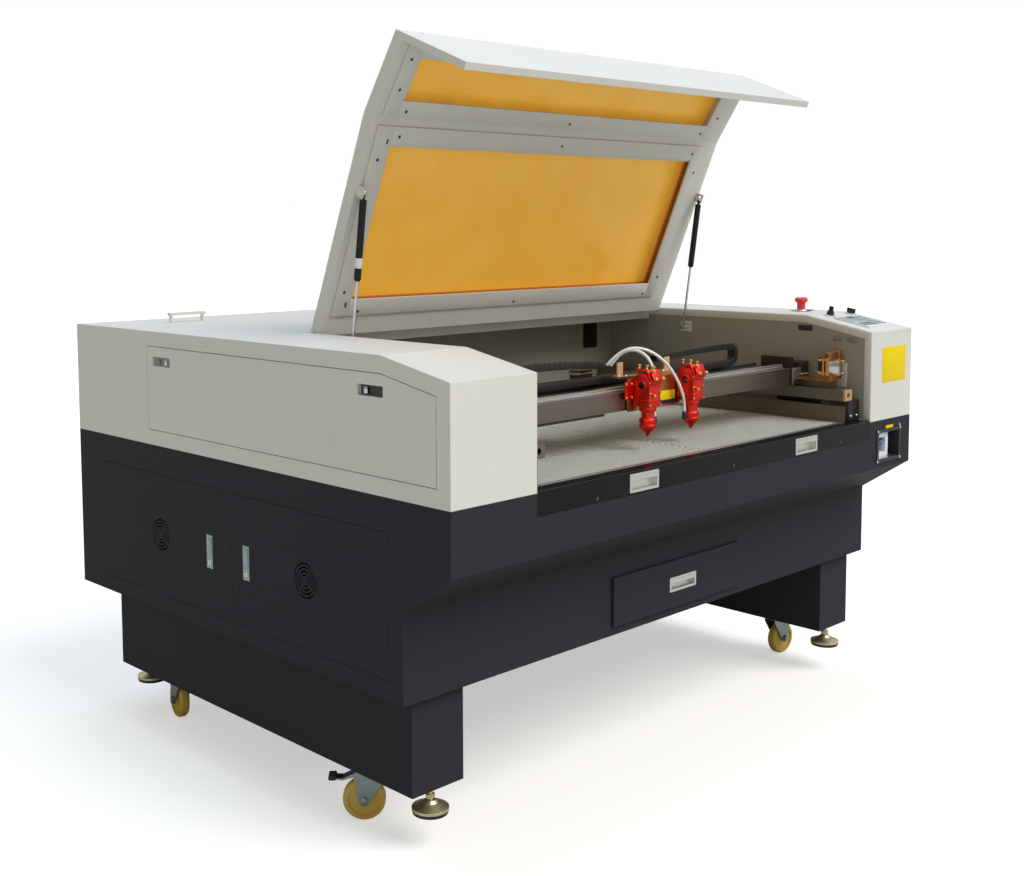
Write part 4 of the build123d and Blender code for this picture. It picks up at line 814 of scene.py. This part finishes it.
# lid: strips that hold the panes, with their screws, and the panes' bright cut edge
lid = {
    "hinge": (0.0, 0.0, 1.1103), "open": 67.5, "under": 1.068, "thick": 0.006,
    "roof": 1.104, "bend": -0.5845, "slope": atan(41 / 214), "depth": 0.036,
    "strips": ((-0.672, -0.566, -0.622, -0.059), (0.600, -0.566, 0.645, -0.059),
               (-0.622, -0.104, 0.600, -0.059), (-0.622, -0.566, 0.600, -0.520)),
    "slopeStrips": ((-0.668, 0.018, -0.624, 0.206), (0.608, 0.018, 0.655, 0.206),
                    (-0.624, 0.018, 0.608, 0.058), (-0.624, 0.170, 0.608, 0.206)),
    "screws": ((-0.650, -0.126), (-0.650, -0.480), (-0.5985, -0.541), (-0.004, -0.541), (0.5965, -0.540),
               (0.634, -0.481), (0.632, -0.127), (0.584, -0.070), (-0.011, -0.070), (-0.590, -0.070)),
    "slopeScrews": ((-0.649, 0.166), (-0.649, 0.086), (-0.602, 0.030), (-0.0055, 0.030), (0.595, 0.031),
                    (0.640, 0.087), (0.640, 0.166), (-0.0055, 0.190)),
    "slots": ((-0.6365, -0.0905), (-0.633, -0.527)),
}
toHinge = moved(lid["hinge"])
lidOpen = toHinge @ tipped(radians(-lid["open"])) @ toHinge.inverted()
slopePlace = lidOpen @ moved((0, lid["bend"], lid["roof"])) @ tipped(lid["slope"])


def makeLidTrim(size):
    strips, screws = bmesh.new(), bmesh.new()
    under, thick, depth = size["under"], size["thick"], size["depth"]
    for x0, y0, x1, y1 in size["strips"]:
        paste(strips, blockShape((x0, y0, under - thick), (x1, y1, under), 0.0008), [lidOpen])
    for x0, s0, x1, s1 in size["slopeStrips"]:
        paste(strips, blockShape((x0, -s1, -depth - thick), (x1, -s0, -depth), 0.0008), [slopePlace])
    flat, sloped = under - thick + 0.0003, -depth - thick + 0.0003
    places = [lidOpen @ facing((x, y, flat), (0, 0, -1)) for x, y in size["screws"]]
    places += [slopePlace @ facing((x, -s, sloped), (0, 0, -1)) for x, s in size["slopeScrews"]]
    paste(screws, screwShape(0.0042, 0.002), places)
    slots = [lidOpen @ moved((x, y, under - thick - 0.0002)) for x, y in size["slots"]]
    paste(screws, blockShape((-0.003, -0.007, 0), (0.003, 0.007, 0.0015), 0.0005), slots)
    finishPiece("windowStrips", strips, "lid", ["cream"])
    finishPiece("stripScrews", screws, "lid", ["darkSteel"])
    edge = bmesh.new()
    z0, z1 = size["roof"] - 0.0125, size["roof"] - 0.0062
    for x0, y0, x1, y1 in ((-0.6155, -0.096, 0.6345, -0.0795), (0.618, -0.513, 0.6345, -0.0795)):
        paste(edge, blockShape((x0, y0, z0), (x1, y1, z1), 0.0006), [lidOpen])
    finishPiece("paneEdge", edge, "lid", ["acrylicEdge"])


makeLidTrim(lid)

# gas struts: paper band and ball stud at the lid end
strut = {"x": {"left": -0.676, "right": 0.695}, "foot": (-0.150, 1.046), "head": (-0.399, 1.052),
         "band": (0.161, 0.186), "radius": 0.0092, "ball": 0.009}


def makeStrutTrim(hand, size, x):
    top = lidOpen @ Vector((x, *size["head"]))
    down = (Vector((x, *size["foot"])) - top).normalized()
    piece = bmesh.new()
    if hand == "left":  # the other one's paper band faces away
        start, stop = size["band"]
        r = size["radius"]
        band = [(r - 0.001, start), (r, start), (r, stop), (r - 0.001, stop)]
        paste(piece, turnedShape(band, 28), [facing(top, down)])
    collar = [(0.0042, 0.212), (0.0078, 0.2125), (0.0078, 0.216), (0.006, 0.219), (0.0042, 0.2192)]
    paste(piece, turnedShape(collar, 24), [facing(top, down)], 1)
    ball = size["ball"]
    arc = [(ball * sin(a), -ball * cos(a)) for a in (pi * k / 8 for k in range(1, 8))]
    paste(piece, turnedShape([(0, -ball)] + arc + [(0, ball)], 20), [moved(top)], 2)
    looks = ["whitePlastic", "strut", "chrome"]
    finishPiece(hand + "StrutTrim", piece, hand + "_strut_cylinder", looks)


for hand, x in strut["x"].items():
    makeStrutTrim(hand, strut, x)
print("lid dressed")

# right post: plates, breaker poles and corner screws
post = {
    "front": -0.7985,
    "largePlate": (0.778, 0.9125, 0.9145, 1.0155),
    "smallPlate": (0.806, 0.7745, 0.848, 0.7835),
    "poles": (
        ((0.775, -0.7895, 0.689), (0.838, -0.782, 0.7045)),
        ((0.775, -0.7895, 0.7485), (0.838, -0.782, 0.764)),
        ((0.8215, -0.7895, 0.7045), (0.838, -0.760, 0.7485)),
    ),
    "corners": ((0.757, 0.682), (0.888, 0.682), (0.757, 0.771), (0.888, 0.771)),
}


def makePostTrim(size):
    piece = bmesh.new()
    y = size["front"]
    for x0, z0, x1, z1 in (size["largePlate"], size["smallPlate"]):
        paste(piece, blockShape((x0, y - 0.0009, z0), (x1, y + 0.0002, z1), 0.0003))
    spots = [facing((x, y - 0.003, z), (0, -1, 0)) for x, z in size["corners"]]
    spots.append(facing((0.889, y, 0.779), (0, -1, 0)))
    paste(piece, screwShape(0.0042, 0.002), spots, 1)
    for low, high in size["poles"]:
        paste(piece, blockShape(low, high, 0.0012), finish=2)
    finishPiece("postPlates", piece, "cabinet", ["yellow", "chrome", "whitePlastic"])


makePostTrim(post)

# controls on the right roof
controls = {
    "stop": (0.863, -0.4765), "roof": 1.104, "brow": 1.063, "front": -0.7985, "slope": atan(41 / 214),
    "knobs": (0.796, 0.916), "knobRun": 0.186, "keypad": (0.8375, 0.100),
}


def onSlope(size, x, run, out=0.0):
    y = size["front"] + run * cos(size["slope"])
    z = size["brow"] + run * sin(size["slope"])
    return moved((x, y, z)) @ tipped(size["slope"]) @ moved((0, 0, out))


def makeControls(size):
    piece = bmesh.new()
    x, y = size["stop"]
    roof = size["roof"]
    place = moved((x, y, roof))
    plate = [(0.0138, 0), (0.030, 0), (0.030, 0.0012), (0.0138, 0.0016)]
    collar = [(0.0138, 0.0012), (0.019, 0.0012), (0.0175, 0.0052), (0.0138, 0.0052)]
    paste(piece, turnedShape(plate, 40), [place])
    paste(piece, turnedShape(collar, 40), [place], 1)
    paste(piece, discShape(0.024, 0.0014, 36, 0.023), [moved((x + 0.050, y + 0.010, roof))])
    ring = [(0.0115, 0), (0.0175, 0), (0.0168, 0.0030), (0.0150, 0.0040), (0.0115, 0.0040)]
    places = [onSlope(size, knob, size["knobRun"]) for knob in size["knobs"]]
    paste(piece, turnedShape(ring, 32), places, 1)
    finishPiece("controlRings", piece, "cabinet", ["blackPlastic", "brightPull"])
    pad = bmesh.new()
    place = onSlope(size, *size["keypad"], 0.004)
    paste(pad, blockShape((-0.060, -0.006, 0), (0.014, 0.050, 0.0011), 0.0004), [place])
    keys = [place @ moved((0.026 + 0.017 * i, 0.044 - 0.016 * j, 0))
            for i in range(3) for j in range(6)]
    paste(pad, blockShape((-0.006, -0.0052, 0), (0.006, 0.0052, 0.0016), 0.0012), keys, 1)
    wide = [place @ moved((-0.050 + 0.018 * i, -0.020 - 0.016 * j, 0))
            for i in range(4) for j in range(2)]
    paste(pad, blockShape((-0.007, -0.0052, 0), (0.007, 0.0052, 0.0016), 0.0012), wide, 2)
    finishPiece("keypadFace", pad, "cabinet", ["screen", "buttonBlue", "greyPlastic"])


makeControls(controls)
print("controls dressed")

# front rail screws, door lock barrels and the slides of the panel locks
railScrews = ((-0.498, 0.762), (0.0335, 0.767), (0.5505, 0.7655))
rail = bmesh.new()
paste(rail, screwShape(0.0045, 0.0014), [facing((x, post["front"], z), (0, -1, 0)) for x, z in railScrews])
finishPiece("railScrews", rail, "front_rail", ["darkSteel"])


def makeLatchTrim(name):
    low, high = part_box(name)
    piece = bmesh.new()
    x, y, z = low.x, (low.y + high.y) / 2, low.z
    barrel = turnedShape([(0, -0.001), (0.0062, -0.001), (0.0062, 0.0008), (0.0055, 0.0014), (0, 0.0014)], 20)
    paste(piece, barrel, [facing((x, y, z + 0.014), (-1, 0, 0))])
    slotMark = (x - 0.0018, y - 0.0008, z + 0.0105), (x - 0.0010, y + 0.0008, z + 0.0175)
    paste(piece, blockShape(*slotMark, 0.0002), finish=1)
    grip = (x - 0.0012, y - 0.0085, z + 0.030), (x + 0.0005, y + 0.0085, high.z - 0.006)
    paste(piece, blockShape(*grip, 0.0006), finish=2)
    finishPiece(name + "Trim", piece, name, ["chrome", "blackPlastic", "latch"])


for latchName in ("front_door_latch", "rear_door_latch"):
    makeLatchTrim(latchName)


def makeLockTab(node, shift, looks):
    low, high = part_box(node)
    piece = bmesh.new()
    x, y, z = low.x, (low.y + high.y) / 2 + shift, (low.z + high.z) / 2
    paste(piece, blockShape((x - 0.0016, y - 0.005, z - 0.007), (x + 0.0004, y + 0.005, z + 0.007), 0.0006))
    paste(piece, blockShape((x - 0.0008, y + 0.006, z - 0.009), (x + 0.0004, y + 0.0075, z + 0.009), 0.0003))
    finishPiece(node + "Tab", piece, node, looks)


makeLockTab("front_panel_lock", 0.018, ["chrome"])
makeLockTab("rear_panel_lock", -0.018, ["brightPull"])

# casters: plate bolts, axle nuts, bearing caps and the black pedal ends
caster = {
    "places": {"front_left": (-0.8295, -0.4185, 137), "front_right": (0.8295, -0.4185, -5),
               "rear_left": (-0.8295, 0.4265, 77), "rear_right": (0.8295, 0.4265, 100)},
    "trail": 0.032, "wheel": 0.050, "fork": 0.020, "plate": 0.131,
}


def makeCasterTrim(name, size, x, y, heading):
    turn = moved((x, y, 0)) @ Matrix.Rotation(radians(heading), 4, "Z")
    bolts = bmesh.new()
    z = size["plate"] - 0.0045
    spots = [moved((x + u, y + v, z)) for u in (-0.037, 0.037) for v in (-0.030, 0.030)]
    paste(bolts, discShape(0.0065, 0.005, 6, None, 0.0006), spots)
    finishPiece(name + "PlateBolts", bolts, "cabinet", ["zinc"])
    nuts = bmesh.new()
    for side in (-1, 1):
        place = turn @ facing((size["trail"], side * size["fork"], size["wheel"]), (0, side, 0))
        paste(nuts, discShape(0.0095, 0.0058, 6, None, 0.0008), [place])
        paste(nuts, discShape(0.0125, 0.0010, 24), [place])
    race = turnedShape([(0.024, 0.1245), (0.0335, 0.1252), (0.0335, 0.1282), (0.024, 0.1290)], 36)
    paste(nuts, race, [moved((x, y, 0))])
    finishPiece(name + "AxleNuts", nuts, name + "_caster", ["zinc"])
    caps = bmesh.new()
    for side in (-1, 1):
        place = turn @ facing((size["trail"], side * 0.0128, size["wheel"]), (0, side, 0))
        cap = turnedShape([(0.0052, 0), (0.012, 0), (0.012, 0.0030), (0.0105, 0.0036), (0.0052, 0.0036)], 28)
        paste(caps, cap, [place])
    finishPiece(name + "BearingCaps", caps, name + "_wheel", ["greyPlastic"])
    if name.startswith("front"):
        pad = bmesh.new()
        paste(pad, blockShape((0.096, -0.0165, 0.0968), (0.1145, 0.0165, 0.1088), 0.003), [turn])
        finishPiece(name + "PedalPad", pad, name + "_brake_pedal", ["rubber"])


for name, (x, y, heading) in caster["places"].items():
    makeCasterTrim(name, caster, x, y, heading)
print("running gear dressed")

# floor, world and lamps
floorShape = bmesh.new()
bmesh.ops.create_circle(floorShape, cap_ends=True, segments=96, radius=40.0)
bmesh.ops.translate(floorShape, vec=(0, 0, -0.0006), verts=floorShape.verts)
floorMesh = bpy.data.meshes.new("floor")
floorShape.to_mesh(floorMesh)
floorShape.free()
floor = bpy.data.objects.new("floor", floorMesh)
scene.collection.objects.link(floor)
studio = {
    "floorTone": (0.6, 0.57, 0.51), "floorLift": 0.52, "skyLow": 0.26, "skyHigh": 0.48,
    "glossLow": 0.14, "glossHigh": 1.0, "bright": (0.45, -0.80, 0.40),
}


def makeFloorLook(size):
    made = bpy.data.materials.new("studioFloor")
    made.use_nodes = True
    tree = made.node_tree
    tree.nodes.remove(tree.nodes["Principled BSDF"])
    grain = noise(tree, objectPlace(tree), 1.5, 2.0)
    tone = mixColour(tree, grain, shade(size["floorTone"], 0.99), shade(size["floorTone"], 1.01))
    plain = addNode(tree, "BsdfDiffuse", {"Color": tone})
    lift = maths(tree, "MULTIPLY", addNode(tree, "LightPath").outputs["Is Camera Ray"], size["floorLift"])
    glow = addNode(tree, "Emission", {"Color": (1, 1, 1, 1), "Strength": lift})
    both = addNode(tree, "AddShader", {0: plain.outputs[0], 1: glow.outputs[0]})
    tree.links.new(both.outputs[0], tree.nodes["Material Output"].inputs["Surface"])
    return made


floor.data.materials.append(makeFloorLook(studio))


def makeWorld(size):
    world = bpy.data.worlds.new("studio")
    scene.world = world
    world.use_nodes = True
    tree = world.node_tree
    tree.nodes.clear()
    way = addNode(tree, "TexCoord").outputs["Generated"]
    toFront = dot(tree, way, size["bright"])
    height = addNode(tree, "SeparateXYZ", {"Vector": way}).outputs["Z"]
    tint = mixColour(tree, spread(tree, height, 0.0, 1.0), (1.0, 0.87, 0.64, 1), (0.8, 0.96, 1.2, 1))
    power = spread(tree, toFront, size["skyLow"], size["skyHigh"], -1.0, 1.0)
    soft = addNode(tree, "Background", {"Color": tint, "Strength": power})
    power = spread(tree, height, size["glossLow"], size["glossHigh"], 0.0, 0.6)
    gloss = addNode(tree, "Background", {"Color": tint, "Strength": power})
    white = addNode(tree, "Background", {"Color": (1, 1, 1, 1), "Strength": 1.0})
    rays = addNode(tree, "LightPath").outputs
    glossy = addNode(tree, "MixShader", {0: rays["Is Glossy Ray"], 1: soft.outputs[0], 2: gloss.outputs[0]})
    seen = maths(tree, "MAXIMUM", rays["Is Camera Ray"], rays["Is Transmission Ray"])
    whole = addNode(tree, "MixShader", {0: seen, 1: glossy.outputs[0], 2: white.outputs[0]})
    out = tree.nodes.new("ShaderNodeOutputWorld")
    tree.links.new(whole.outputs[0], out.inputs["Surface"])


def addSun(name, toward, power, angle, colour):
    data = bpy.data.lights.new(name, "SUN")
    data.energy = power
    data.angle = radians(angle)
    data.color = colour
    made = bpy.data.objects.new(name, data)
    made.rotation_euler = Vector(toward).to_track_quat("Z", "Y").to_euler()
    scene.collection.objects.link(made)


makeWorld(studio)
addSun("keySun", (0.22, -0.64, 0.73), 2.5, 38, (0.985, 0.985, 0.975))
addSun("topSun", (0.05, 0.30, 0.95), 1.2, 40, (0.5, 0.75, 1.0))
addSun("sideFill", (-0.92, -0.22, 0.30), 0.2, 60, (1.0, 0.85, 0.6))
print("stage lit")

print("pieces finished")
